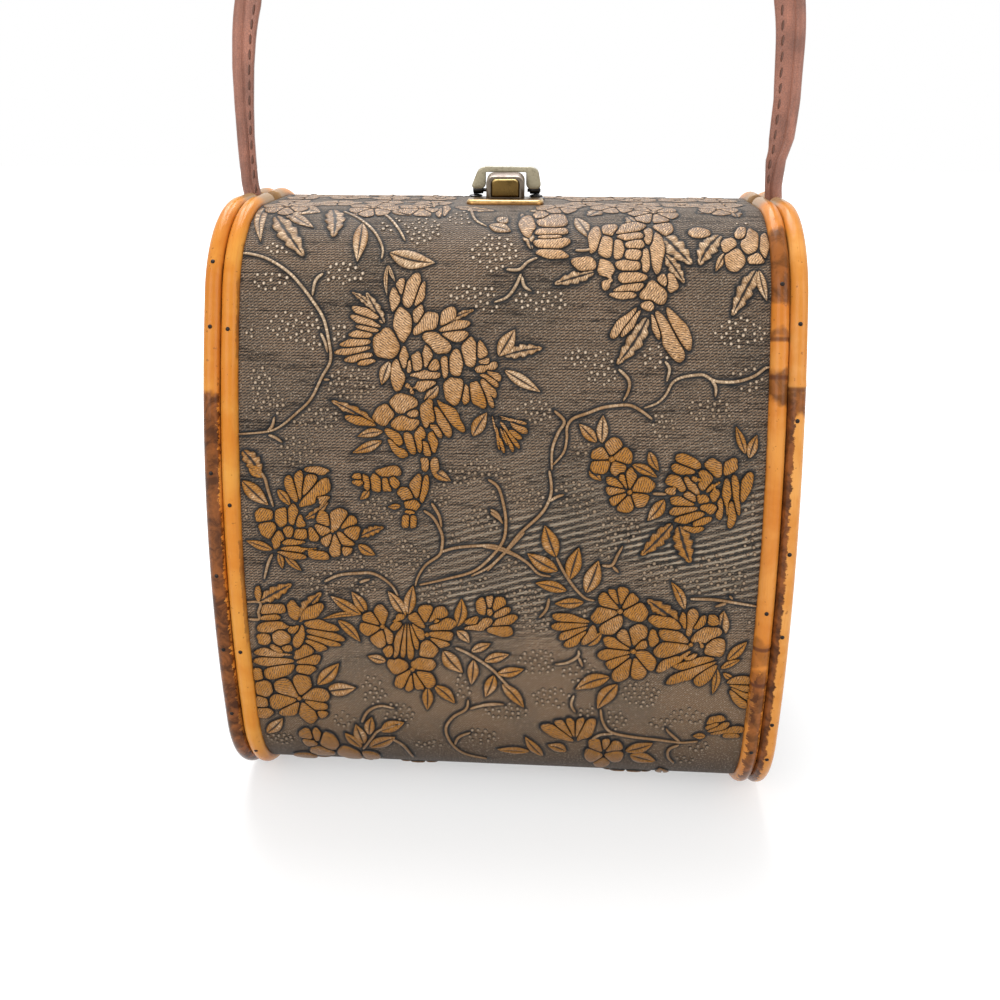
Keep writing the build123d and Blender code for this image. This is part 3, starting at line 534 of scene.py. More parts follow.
plainLeaves = (
    (-90.7, 305.9, 27.6, 5, -83), (-85.1, 302.6, 17.2, 13.1, -18), (-81.5, 297.9, 16.8, 5.5, -43),
    (-51.9, 289.8, 19, 6, -89), (-40.6, 275.1, 17.6, 7.8, -13), (-43.1, 302.5, 11.3, 7.7, -40),
    (-40.6, 270.2, 11.6, 1.6, -88), (-40.3, 270.2, 7.1, 1.4, -66), (-38.9, 236, 9.1, 4.7, -108),
    (-21.4, 227.7, 7.7, 4, -134), (-40.9, 211, 9.7, 3.6, -168), (-41.2, 207.7, 12, 4, -157),
    (-9.2, 209.9, 10.2, 5.2, 60), (-5.8, 289.1, 9.2, 6.1, -23), (-2.8, 291.2, 5, 6, 40),
    (25.5, 294.9, 14.6, 5.8, -67), (24.9, 271.7, 7.2, 4.3, 18), (77.8, 276.8, 8.6, 3, -115),
    (89, 270, 11.6, 3.7, -76), (-0.5, 238.1, 11.4, 6.1, 60), (1.5, 233.6, 15.2, 4.6, -30),
    (34.6, 208.8, 9.3, 4.4, 135), (36.3, 208.4, 10.3, 4.5, 89), (52.8, 206.1, 7.8, 3.6, -62),
    (86.1, 205.8, 10.6, 3.3, 111), (87.3, 204.3, 8.9, 4.1, 74), (-92.5, 192.1, 13.3, 6.2, -43),
    (-89.8, 197.1, 6.5, 4.6, -38), (-79.5, 189.1, 7.7, 3.7, -52), (-50.6, 169.2, 7.5, 4, -31),
    (-80, 165.1, 6.5, 2.7, -79), (-77.8, 164, 8.5, 2.9, -43), (-81.9, 166.2, 10.6, 3.6, 162),
    (-46.1, 189.9, 5.1, 2.9, -131), (-34.7, 184.2, 4.8, 2.3, -174), (-24, 198, 8.6, 4.1, -30),
    (-68.8, 109.8, 14, 6.1, 49), (-66.1, 106.9, 12.7, 6.8, 11), (-91.1, 85, 11.2, 5.5, 48),
    (-52.8, 80.6, 11.5, 5.6, 102), (-50.2, 86.3, 9.5, 4.6, 80), (-45.6, 88.4, 11.1, 6.1, 28),
    (-53.9, 77.9, 11, 5.2, 123), (-51, 78.4, 13.5, 6.9, 34), (-32.8, 141.9, 12.4, 4.9, 80),
    (-33.6, 141, 12.5, 4.8, 122), (-48.2, 141.7, 10.6, 4.7, 121), (-50, 141.2, 13.9, 4.6, 147),
    (-50, 141.6, 15.3, 2.3, -170), (-59.2, 138.9, 12.3, 4.4, -48), (-20.2, 127.5, 12.2, 6.8, -52),
    (-14.9, 137.5, 12.2, 5.2, 81), (-14.9, 136.2, 7, 4.2, -47), (-41.6, 121.9, 7.4, 4.2, 165),
    (-23.9, 111.8, 11.4, 5.3, -46), (-26.5, 110.8, 11, 4.7, -92), (-9.7, 127.3, 8.5, 3.9, 27),
    (-4.9, 123.3, 10.2, 4.5, 20), (-8.8, 124, 11.6, 4.7, -95), (-1.2, 117.5, 10.9, 5.1, -108),
    (-0.1, 118.1, 10.6, 4.9, 14), (1.7, 113.8, 14, 5.3, -52), (21.2, 166.5, 12.9, 6.7, 110),
    (22.1, 161.2, 13.3, 6.1, 150), (26.1, 158, 13.1, 6.2, 76), (32.1, 152.9, 13.8, 6.7, 72),
    (25.4, 153.7, 12.1, 4.8, 167), (31.7, 149.4, 11, 4.5, -175), (32.7, 131.5, 8.7, 3.9, 47),
    (32.2, 200.2, 6.6, 3.8, -49), (46.9, 201.3, 10.2, 3.8, -26), (58.8, 189.2, 10.1, 5.1, -126),
    (67.9, 147.6, 12.4, 3.9, 117), (81.4, 136.7, 11.4, 5.8, 88), (80.7, 124.3, 12, 3.4, -93),
    (84.3, 127.5, 10.6, 4.5, 51), (82.2, 123.9, 8.2, 2.9, 31), (83.3, 122.1, 6.2, 2.7, -35),
    (42.2, 118.6, 14.5, 6.7, -154), (45, 115.6, 14.1, 6.7, -121), (49.2, 82.9, 11.8, 6.4, 27),
    (51.1, 80.9, 11.3, 8.2, -21), (17.7, 77.1, 13.9, 4.8, 121), (12.6, 80.3, 13.1, 5.2, 178),
    (26.8, 81.3, 8.4, 5.9, 155), (79.2, 92.8, 4.9, 3.2, -177),
)
jaggedLeaves = (
    (-85.3, 294.3, 26.2, 9.4, -56), (-65.1, 300.5, 19.7, 9.3, -79), (-41, 248.9, 13.3, 5.1, 121),
    (-45.1, 254.2, 10, 3, 143), (-21.1, 249.2, 13.2, 3.6, 24), (-43.8, 213.5, 18.2, 5.1, 153),
    (-91.9, 203.2, 12, 7.3, -55), (10.3, 276.8, 22.1, 5.7, 102), (32.5, 268.4, 15.1, 5.9, -162),
    (55.5, 285.7, 18, 9.7, -53), (56.7, 275.6, 13.1, 5.5, -58), (51.2, 252.9, 20.2, 7.5, -122),
    (76.8, 284.9, 16.1, 8.7, -121), (88.3, 270, 18.8, 7, -117), (1.4, 238.5, 14.1, 5.7, 12),
    (-69.7, 178.3, 11.3, 3.7, 38), (-49.7, 172.3, 9.7, 4.5, 23), (-88.4, 145.3, 15.3, 6.7, 31),
    (-74.3, 137.3, 16.3, 6.9, 53), (61.9, 180.5, 16.7, 6.7, -131), (64, 179.8, 15.1, 8.4, -71),
    (66.6, 142.3, 15.7, 7.9, 144),
)
stemRuns = (  # x, s of the points along each stem
    ((-91, 274), (-84, 272), (-76, 267), (-71, 262), (-67, 257), (-63, 251), (-61, 244), (-60, 236),
     (-63, 230), (-67, 222), (-72, 217), (-78, 212), (-83, 210), (-92, 209)),
    ((-63, 267), (-66, 264), (-67, 258)), ((-64, 246), (-62, 242), (-61, 238)),
    ((-83, 210), (-81, 212), (-80, 216)), ((-83, 209), (-80, 208), (-77, 206)),
    ((-61, 299), (-54, 293), (-47, 285), (-43, 277), (-43, 272)),
    ((-49, 301), (-43, 294), (-38, 286), (-35, 280)), ((-63, 229), (-61, 229), (-60, 229)),
    ((-14, 305), (-11, 293), (-6, 288)),
    ((92, 236), (88, 233), (82, 231), (75, 231), (71, 233), (68, 233), (63, 232), (60, 230), (58, 226),
     (55, 223), (50, 221)),
    ((57, 238), (59, 235), (58, 230)), ((73, 232), (75, 229), (75, 225)),
    ((54, 217), (50, 220), (46, 222), (42, 222), (36, 221), (31, 219), (26, 217), (24, 214), (24, 210),
     (23, 205), (19, 200)),
    ((41, 235), (45, 231), (45, 227), (43, 223)), ((19, 220), (23, 216), (21, 212), (19, 206), (19, 198)),
    ((1, 269), (6, 269), (9, 272), (13, 274)), ((7, 268), (5, 263), (2, 259), (-3, 257)),
    ((7, 267), (8, 263), (11, 261)), ((25, 277), (29, 277), (32, 278)),
    ((-86, 196), (-84, 193), (-83, 189), (-81, 182)), ((-82, 165), (-84, 161), (-86, 154)),
    ((-27, 183), (-23, 180), (-20, 174), (-20, 169), (-21, 166), (-26, 162), (-29, 157), (-30, 153)),
    ((-21, 167), (-15, 169), (-7, 170), (0, 170), (9, 166)), ((-24, 186), (-21, 181), (-20, 176)),
    ((-4, 195), (0, 192), (2, 186), (3, 179), (2, 172), (-3, 165), (-9, 160), (-18, 157), (-29, 154)),
    ((10, 176), (3, 168), (-3, 162), (-10, 158)),
    ((-64, 154), (-58, 157), (-51, 158), (-45, 158), (-39, 154), (-36, 149)),
    ((-51, 154), (-49, 155), (-46, 156)), ((-3, 184), (0, 182), (2, 178)),
    ((-16, 129), (-10, 126), (-2, 120), (3, 114), (10, 106)),
    ((-53, 92), (-50, 98), (-45, 101), (-39, 100)), ((-54, 76), (-49, 85), (-46, 89), (-39, 92)),
    ((-11, 106), (-12, 101), (-17, 97), (-20, 91), (-18, 83), (-13, 76), (-4, 72)),
    ((-11, 101), (-6, 103), (1, 104)), ((-17, 82), (-15, 87), (-10, 90)),
    ((-42, 85), (-37, 80), (-34, 70)), ((-89, 138), (-89, 141), (-88, 145)),
    ((18, 199), (19, 192), (18, 187), (15, 182), (8, 175), (2, 167), (-4, 160)),
    ((18, 187), (21, 189), (24, 190)), ((-6, 170), (0, 169), (6, 167), (11, 164), (15, 160), (20, 159)),
    ((-3, 183), (1, 180), (2, 178)), ((21, 167), (24, 161), (28, 155), (32, 151), (36, 150)),
    ((37, 164), (41, 164), (43, 168), (45, 172)), ((41, 164), (44, 161)),
    ((19, 151), (18, 146), (15, 142)), ((54, 191), (57, 191), (60, 191)),
    ((69, 152), (78, 152), (86, 151), (93, 150)), ((83, 154), (85, 152)), ((83, 151), (78, 149)),
    ((39, 104), (40, 98), (43, 93), (50, 91), (60, 90), (70, 89), (77, 90)),
    ((70, 89), (65, 94), (64, 96)), ((70, 88), (66, 85), (66, 80), (69, 75)),
    ((29, 110), (28, 105), (30, 101)), ((35, 87), (39, 91), (45, 92)),
    ((30, 130), (30, 127), (26, 124), (21, 123)), ((30, 127), (32, 122)),
    ((-7, 103), (-2, 104), (3, 104)),
)
berryClusters = (  # x, s, width, height, number of berries
    (-81, 276, 8, 6, 9), (-56, 267, 15, 8, 24), (-82, 264, 15, 7, 20), (-73, 248, 21, 11, 46),
    (-66, 242, 9, 5, 12), (-90, 245, 4, 4, 3), (-56, 245, 8, 7, 14), (-85, 228, 7, 11, 16),
    (-82, 220, 12, 8, 24), (-53, 228, 18, 11, 40), (-65, 215, 18, 8, 34), (-72, 203, 15, 11, 40),
    (-30, 286, 14, 14, 34), (-41, 289, 7, 9, 8), (-3, 276, 16, 16, 40), (-10, 260, 17, 6, 26),
    (-4, 255, 6, 4, 8), (-16, 294, 9, 10, 10), (-7, 200, 10, 4, 14), (-3, 274, 12, 12, 34),
    (14, 258, 18, 8, 28), (21, 257, 5, 3, 4), (83, 248, 18, 10, 30), (31, 238, 17, 6, 18),
    (36, 233, 11, 8, 20), (54, 239, 8, 8, 16), (86, 232, 12, 8, 12), (73, 221, 16, 8, 28),
    (57, 215, 8, 9, 18), (13, 219, 14, 8, 26), (29, 207, 6, 5, 5), (-6, 256, 7, 6, 10),
    (85, 290, 5, 5, 5), (-42, 183, 14, 8, 28), (-20, 189, 7, 9, 18), (-11, 196, 17, 7, 26),
    (-4, 180, 19, 8, 34), (-16, 172, 5, 5, 6), (-33, 169, 7, 5, 7), (-28, 163, 8, 10, 22),
    (-40, 161, 7, 9, 16), (-53, 162, 10, 9, 20), (-64, 154, 12, 9, 26), (-49, 153, 9, 7, 16),
    (-9, 156, 11, 7, 18), (-23, 151, 12, 7, 24), (-47, 108, 9, 15, 30), (-60, 94, 9, 7, 14),
    (-38, 97, 11, 12, 26), (-13, 112, 7, 11, 20), (2, 101, 13, 8, 26), (-7, 88, 10, 8, 16),
    (-86, 82, 11, 8, 12), (-27, 82, 10, 5, 8), (2, 151, 4, 5, 5), (-92, 179, 2, 6, 4),
    (1, 193, 9, 12, 14), (9, 190, 8, 9, 16), (13, 187, 11, 7, 16), (27, 190, 15, 9, 26),
    (31, 185, 8, 6, 12), (44, 178, 14, 10, 30), (39, 171, 7, 9, 14), (89, 188, 6, 7, 8),
    (90, 174, 5, 10, 12), (58, 161, 14, 9, 24), (69, 156, 9, 8, 14), (77, 166, 9, 7, 14),
    (83, 160, 14, 11, 30), (11, 151, 11, 8, 20), (13, 142, 17, 11, 34), (15, 124, 16, 10, 34),
    (30, 121, 12, 11, 24), (21, 108, 16, 9, 30), (4, 101, 16, 8, 28), (34, 102, 7, 5, 10),
    (54, 111, 14, 11, 28), (44, 98, 10, 10, 22), (63, 98, 10, 7, 16), (72, 102, 15, 8, 26),
    (77, 87, 7, 6, 10), (6, 163, 9, 5, 8), (30, 145, 6, 4, 6), (91, 144, 3, 3, 3), (72, 78, 10, 5, 8),
    (-4, 89, 6, 7, 7),
)
flowerButtons = (  # x, s, radius
    (39.9, 203, 1.7), (-53.1, 174, 0.9), (-59.8, 174.2, 1.1), (-76.3, 103.3, 1.4), (-42.5, 136.8, 1.4),
    (-26, 134, 1.4), (-31.9, 118.7, 1.4), (44.6, 146.3, 1.6), (50.1, 130, 1.6), (46.5, 191.4, 1.4),
    (70.7, 190.4, 1.2), (70.8, 133.6, 1.3),
)
coverTop = (
    (-80, 292, 17, 9, 80), (-70, 306, 16, 8, 150), (-58, 296, 18, 9, 20), (-40, 308, 16, 8, 200),
    (-20, 306, 17, 8, -20), (24, 306, 17, 8, 200), (30, 296, 15, 8, 60), (56, 310, 17, 9, 160),
    (70, 300, 17, 9, 30), (84, 296, 14, 7, 90), (44, 296, 14, 7, -60), (-28, 294, 14, 7, 120),
    (82, 314, 15, 7, 170), (-84, 315, 14, 7, -10), (-48, 318, 14, 6, 10), (34, 318, 14, 6, -10),
)
rosettes = (  # x, s, radius, petals, turn: those the photograph doesn't reach, and the top band
    (-66, 314, 8, 6, 10), (-32, 303, 8, 6, 40), (40, 308, 9, 7, 0), (66, 316, 7, 6, 30),
    (78, 305, 7, 5, 60), (-83, 304, 9, 7, 20), (-50, 303, 9, 7, 0), (19, 306, 8, 6, 15),
    (54, 300, 9, 7, 30), (29, 317, 7, 6, 10), (-48, 317, 7, 6, 50), (-29, 316, 7, 6, 20),
    (82, 318, 7, 6, 0), (50, 317, 7, 6, 40), (-84, 318, 6, 5, 30), (-76, 44, 9, 6, 15),
    (-34, 48, 9, 7, 40), (12, 40, 9, 6, 0), (52, 50, 10, 7, 20), (80, 34, 8, 6, 45), (-56, 24, 9, 6, 0),
    (-12, 20, 9, 7, 30), (34, 22, 9, 6, 10), (70, 14, 8, 6, 0), (-84, 14, 7, 5, 0),
)
baseLeaves = (
    (-60, 44, 15, 7, 60), (-50, 36, 15, 6, 10), (-24, 38, 15, 7, -60), (-4, 34, 14, 6, 80),
    (26, 44, 15, 7, 20), (36, 34, 14, 6, -40), (64, 36, 14, 6, -50), (66, 56, 14, 6, 100),
    (-74, 24, 14, 6, 200), (-40, 14, 14, 6, -20), (4, 16, 14, 6, 10), (16, 28, 13, 6, 100),
    (52, 12, 14, 6, 160), (-26, 10, 13, 6, 170), (48, 26, 13, 6, 40),
)

relief = {
    "height": 0.9,  # how far a petal stands above the ground
    "root": 0.35,  # how far its rim reaches into the ground
    "sideMargin": 0.4, "endMargin": 1.5,  # kept free at the sheet's edges
    "groove": 0.40,  # kept open between two petals
    "growth": 2.0,  # how far a petal spreads to meet its neighbour
    "sides": 30,
    "rings": ((0.45, 0.98), (0.76, 0.90), (0.93, 0.62), (1.0, 0.16)),  # shares of outline and height
    "petalTall": (0.80, 0.06, 1.12),  # share of the height, gain for each mm of half width, most
    "petalLift": 0.16, "petalTip": 0.14,  # uneven height, and how much the tip stands above the root
    "petalUneven": (0.035, 0.025),
    "across": (-1.0, -0.9, -0.62, -0.3, 0.0, 0.3, 0.62, 0.9, 1.0),  # places across a leaf
    "leafRows": {"plain": 15, "jagged": 28},
    "leafTall": (0.72, 0.04, 1.1), "leafBow": 0.06, "leafSink": 0.15,
    "teeth": 4.5, "toothStart": 0.15,
    "stemWidth": 1.35, "stemHeight": 0.75, "stemAcross": (-1.0, -0.7, 0.0, 0.7, 1.0), "stemStep": 0.9,
    "hiddenPast": 87.5,  # a stem that ends further out than this runs on beneath a cane
    "berryRadius": 0.78, "berryGap": 2.0, "berryHeight": 1.15,
    "berryRings": ((1.0, -0.3), (0.93, 0.28), (0.55, 0.72)), "berryTop": 0.86,
    "berryShare": 1.2, "berryTries": 14,  # berries made for each one counted in a cluster, tries for each
    "berryReach": 91.4, "berryClear": (1.15, 0.8),  # from other rims and from petals
    "eyeRadius": 1.5, "eyeSides": 12, "eyeShare": 0.8,
    "rosetteRoot": 2, "rosetteTrim": 1.5, "rosetteSpread": 4.6,
    "topPress": ((262, 290, 302), (1.0, 0.30, 0.18)),  # how much stands where the sheet turns over the top
}


def halfWidth(kind, u):
    # outline of one leaf, 0 to 1 along it
    if kind == "plain":
        return np.sin(math.pi * u ** 0.86) ** 1.05
    teeth = 1 - 0.30 * ((u * relief["teeth"] + relief["toothStart"]) % 1.0) * (u < 0.93)
    return np.sin(math.pi * u ** 0.8) ** 0.8 * teeth


def swell(kind, u, v):
    # height of one leaf over the ground, 0 to 1, with a groove down its midrib
    body = np.interp(np.abs(v), (0, 0.3, 0.62, 0.9, 1.0), (1.0, 0.97, 0.86, 0.5, 0.0))
    body = body * np.clip(np.minimum(u, 1 - u) / 0.10, 0, 1) ** 0.5
    body = body * (1 - 0.8 * np.exp(-(v / 0.17) ** 2) * (u < 0.9))
    if kind == "jagged":
        tooth = u * relief["teeth"] + relief["toothStart"] - 0.5 * np.abs(v)
        body = body * (0.82 + 0.18 * np.cos(fullTurn * tooth))
    return body


def topFlat(s):
    # the relief is pressed down where the sheet turns over the top
    return np.interp(s, *relief["topPress"])


def onSheet(x, s):
    # flat places, held inside the edges of the sheet
    side = case["sheetHalfWidth"] - relief["sideMargin"]
    return np.clip(x, -side, side), np.clip(s, relief["endMargin"], coverLine.length - relief["endMargin"])


def turned(a, c, turn):
    return a * math.cos(turn) - c * math.sin(turn), a * math.sin(turn) + c * math.cos(turn)


def gridFaces(rows, columns):
    # top of a strip and the plain underside that closes it
    faces = []
    for i in range(rows - 1):
        a, b = i * columns, (i + 1) * columns
        for j in range(columns - 1):
            faces.append((a + j, b + j, b + j + 1, a + j + 1))
        faces.append((a, a + columns - 1, b + columns - 1, b))
    return faces


class Motifs:
    # gathers many small raised forms into one mesh
    def __init__(self):
        self.points, self.faces, self.uvs, self.edge, self.tone, self.rims = [], [], [], [], [], []
        self.count = 0

    def add(self, x, s, height, u, v, edge, tone, faces, rim):
        self.points.append(onCover(x, s, height))
        flat = np.stack([u, v], axis=-1) * 0.01
        self.faces += [[self.count + k for k in face] for face in faces]
        self.uvs += [flat[k] for face in faces for k in face]
        self.edge.append(edge)
        self.tone.append(np.full(len(edge), tone))
        self.rims.append(np.stack([x[rim], s[rim]], axis=-1))
        self.count += len(edge)

    def addStrip(self, x, s, height, u, v, edge, tone):
        # a form on a grid, whose rim is its two outer columns
        rim = np.arange(x.size).reshape(x.shape)[:, [0, -1]].ravel()
        self.add(*(np.ravel(part) for part in (x, s, height, u, v, edge)), tone, gridFaces(*x.shape), rim)

    def build(self, name):
        piece = buildMesh(name, np.concatenate(self.points), self.faces, self.uvs,
                          {"edge": np.concatenate(self.edge), "tone": np.concatenate(self.tone)})
        closeMesh(piece)
        return piece


class Petals:
    # ovals that spread until a groove's width from their neighbours, as the petals of a pressed flower do
    def __init__(self, rows):
        table = np.array([row[1:] for row in rows], float)
        self.tipped = np.array([row[0] == "ray" for row in rows])
        self.long, self.wide = table[:, 2] / 2, table[:, 3] / 2
        self.turn = np.radians(table[:, 4])
        self.x = table[:, 0] + self.long * np.cos(self.turn)
        self.s = table[:, 1] + self.long * np.sin(self.turn)

    def taper(self, share):
        # a ray petal is narrower at its root than at its tip
        return np.clip(0.92 + 0.24 * share, 0.6, 1.2)

    def away(self, k, x, s):
        # roughly how far outside petal k a place lies, negative within
        a, c = turned(x - self.x[k], s - self.s[k], -self.turn[k])
        if self.tipped[k]:
            c = c / self.taper(a / self.long[k])
        reach = np.sqrt((a / self.long[k]) ** 2 + (c / self.wide[k]) ** 2) + 1e-6
        slope = np.sqrt((a / self.long[k] ** 2) ** 2 + (c / self.wide[k] ** 2) ** 2) / reach + 1e-6
        return (reach - 1) / slope

    def nearest(self, x, s, leaveOut=-1, within=9.0):
        result = np.full(np.shape(x), 99.0)
        cx, cs = np.mean(x), np.mean(s)
        spread = np.max(np.hypot(x - cx, s - cs))
        for k in np.nonzero(np.hypot(self.x - cx, self.s - cs) < self.long + spread + within / 3)[0]:
            if k != leaveOut:
                result = np.minimum(result, self.away(k, x, s))
        return result

    def outline(self, k, draw):
        # directions and distances from the middle of petal k to its rim, in the sheet and along its own axes
        angle = np.arange(relief["sides"]) * fullTurn / relief["sides"]
        a, c = self.long[k] * np.cos(angle), self.wide[k] * np.sin(angle)
        if self.tipped[k]:
            c = c * self.taper(np.cos(angle))
        phase = draw.uniform(0, 6)
        own = np.hypot(a, c)
        ax, ac = a / own, c / own
        three, five = relief["petalUneven"]
        own = own * (1 + three * np.sin(3 * angle + phase) + five * np.sin(5 * angle + 2 * phase))
        dx, ds = turned(ax, ac, self.turn[k])
        share = np.linspace(0, 1, 26)
        far = own * 0.25 + (own * 0.75 + relief["growth"])[None, :] * share[:, None]
        px, ps = self.x[k] + dx[None, :] * far, self.s[k] + ds[None, :] * far
        margin = self.nearest(px, ps, k) - self.away(k, px, ps) - relief["groove"]
        rim = own.copy()
        meets = np.full(len(own), 99.0)
        for j in range(len(own)):
            lost = np.nonzero(margin[:, j] < 0)[0]
            if len(lost):
                i = lost[0]
                meets[j] = far[0, j]
                if i > 0:
                    meets[j] = np.interp(0, (margin[i, j], margin[i - 1, j]), (far[i, j], far[i - 1, j]))
                spare = meets[j] - own[j]
                rim[j] = meets[j]
                if spare > 0:
                    rim[j] = own[j] + spare * min(1.0, max(0.0, (relief["growth"] + 0.1 - spare) / 0.7))
        for _ in range(2):
            rim = np.minimum(0.25 * np.roll(rim, 1) + 0.5 * rim + 0.25 * np.roll(rim, -1), meets)
        return dx, ds, rim, ax, ac


def addPetal(motifs, petals, k, draw):
    dx, ds, rim, ax, ac = petals.outline(k, draw)
    sides = relief["sides"]
    share, gain, most = relief["petalTall"]
    tall = relief["height"] * min(most, share + petals.wide[k] * gain)
    lift = draw.uniform(0.0, relief["petalLift"])
    x, s, height, edge, u, v = [petals.x[k]], [petals.s[k]], [tall + lift], [1.0], [0.0], [0.0]
    slope = np.cos(np.arctan2(ac, ax)) * relief["petalTip"]
    for share, high in relief["rings"] + ((1.0, 0.0),):
        rise = (tall * high + lift * min(1.0, high * 2)) * (1 + slope * share)
        x += list(petals.x[k] + dx * rim * share)
        s += list(petals.s[k] + ds * rim * share)
        height += list(rise if high else np.full(sides, -relief["root"]))
        edge += [high] * sides
        u += list(ax * rim * share)
        v += list(ac * rim * share)
    x, s = onSheet(x, s)
    height = np.array(height)
    height = np.where(height > 0, height * topFlat(s), height)
    faces = [(0, 1 + j, 1 + (j + 1) % sides) for j in range(sides)]
    for ring in range(len(relief["rings"])):
        a, b = 1 + ring * sides, 1 + (ring + 1) * sides
        faces += [(a + j, b + j, b + (j + 1) % sides, a + (j + 1) % sides) for j in range(sides)]
    last = 1 + len(relief["rings"]) * sides
    faces.append(range(last, last + sides)[::-1])
    motifs.add(x, s, height, np.array(u), np.array(v), np.array(edge), draw.random(), faces, np.s_[last:])


def addLeaf(motifs, petals, kind, x0, s0, length, width, angle, draw):
    rows = relief["leafRows"][kind]
    u = np.linspace(0, 1, rows) if kind == "jagged" else (1 - np.cos(np.linspace(0, math.pi, rows))) / 2
    uu, vv = np.meshgrid(u, np.array(relief["across"]), indexing="ij")
    # no two leaves bend quite alike
    bow = draw.uniform(-relief["leafBow"], relief["leafBow"]) * length * np.sin(math.pi * uu)
    a, c = uu * length, vv * halfWidth(kind, uu) * width / 2 + bow
    x, s = turned(a, c, math.radians(angle))
    x, s = onSheet(x0 + x, s0 + s)
    raised = swell(kind, uu, vv)
    clear = np.clip((petals.nearest(x, s) - 0.25) / 0.5, 0, 1)  # sinks where a petal lies over it
    share, gain, most = relief["leafTall"]
    tall = relief["height"] * min(most, share + width * gain)
    height = raised * tall * topFlat(s) * clear - relief["leafSink"] * (1 - clear)
    height = np.where(raised <= 0, -relief["root"], height)
    motifs.addStrip(x, s, height, a, c, raised * clear, draw.random())


def smoothRun(points):
    # a soft curve through the points of a stem
    points = np.array(points, float)
    padded = np.vstack([2 * points[0] - points[1], points, 2 * points[-1] - points[-2]])
    run = []
    for k in range(1, len(padded) - 2):
        p0, p1, p2, p3 = padded[k - 1:k + 3]
        pieces = max(2, int(np.hypot(*(p2 - p1)) / relief["stemStep"]))
        for t in np.arange(pieces) / pieces:
            run.append(0.5 * (2 * p1 + (p2 - p0) * t + (2 * p0 - 5 * p1 + 4 * p2 - p3) * t ** 2
                              + (3 * p1 - p0 - 3 * p2 + p3) * t ** 3))
    run.append(points[-1])
    return np.array(run)


def addStem(motifs, points, draw):
    run = smoothRun(points)
    way = np.gradient(run, axis=0)
    way /= np.hypot(way[:, 0], way[:, 1])[:, None]
    long = runLength(run)
    u = np.linspace(0, 1, len(run))
    width = relief["stemWidth"] * (0.55 + 0.45 * np.sin(math.pi * np.clip(u * 0.7 + 0.25, 0, 1)))
    width *= np.clip(np.minimum(long, long[-1] - long) / 1.6, 0, 1) ** 0.5
    along, vv = np.meshgrid(long, np.array(relief["stemAcross"]), indexing="ij")
    c = vv * width[:, None] / 2
    x, s = onSheet(run[:, 0, None] - way[:, 1, None] * c, run[:, 1, None] + way[:, 0, None] * c)
    raised = np.sqrt(np.clip(1 - vv ** 2, 0, 1)) * (width[:, None] > 0)
    height = raised * relief["stemHeight"] * topFlat(s) - relief["root"] * (raised <= 0.01)
    motifs.addStrip(x, s, height, along, c, raised, draw.random())


def addBerry(motifs, x0, s0, radius, draw, sides=8):
    angle = np.arange(sides) * fullTurn / sides
    rings = relief["berryRings"]
    x = np.concatenate([x0 + r * radius * np.cos(angle) for r, h in rings] + [[x0]])
    s = np.concatenate([s0 + r * radius * np.sin(angle) for r, h in rings] + [[s0]])
    height = np.concatenate([np.full(sides, h) for r, h in rings] + [[relief["berryTop"]]])
    height = height * radius * relief["berryHeight"]
    faces = [range(sides)[::-1]]
    corners = [(k, (k + 1) % sides) for k in range(sides)]
    for a in (0, sides):
        faces += [(a + k, a + after, a + sides + after, a + sides + k) for k, after in corners]
    faces += [(2 * sides + k, 2 * sides + after, 3 * sides) for k, after in corners]
    edge = np.clip(height / radius, 0, 1)
    height = np.where(height > 0, height * (0.15 + 0.85 * topFlat(s)), height)
    motifs.add(x, s, height, x - x0, s - s0, edge, draw.random(), faces, np.s_[:sides])


def rimTree(places):
    # finds the nearest of many flat places
    tree = kdtree.KDTree(len(places))
    for number, (x, s) in enumerate(places):
        tree.insert((x, s, 0), number)
    tree.balance()
    return tree


def beneathCane(place):
    # the end that a stem is given when it reaches a cane
    x, s = place
    return ((math.copysign(case["sheetHalfWidth"], x), s),) if abs(x) > relief["hiddenPast"] else ()


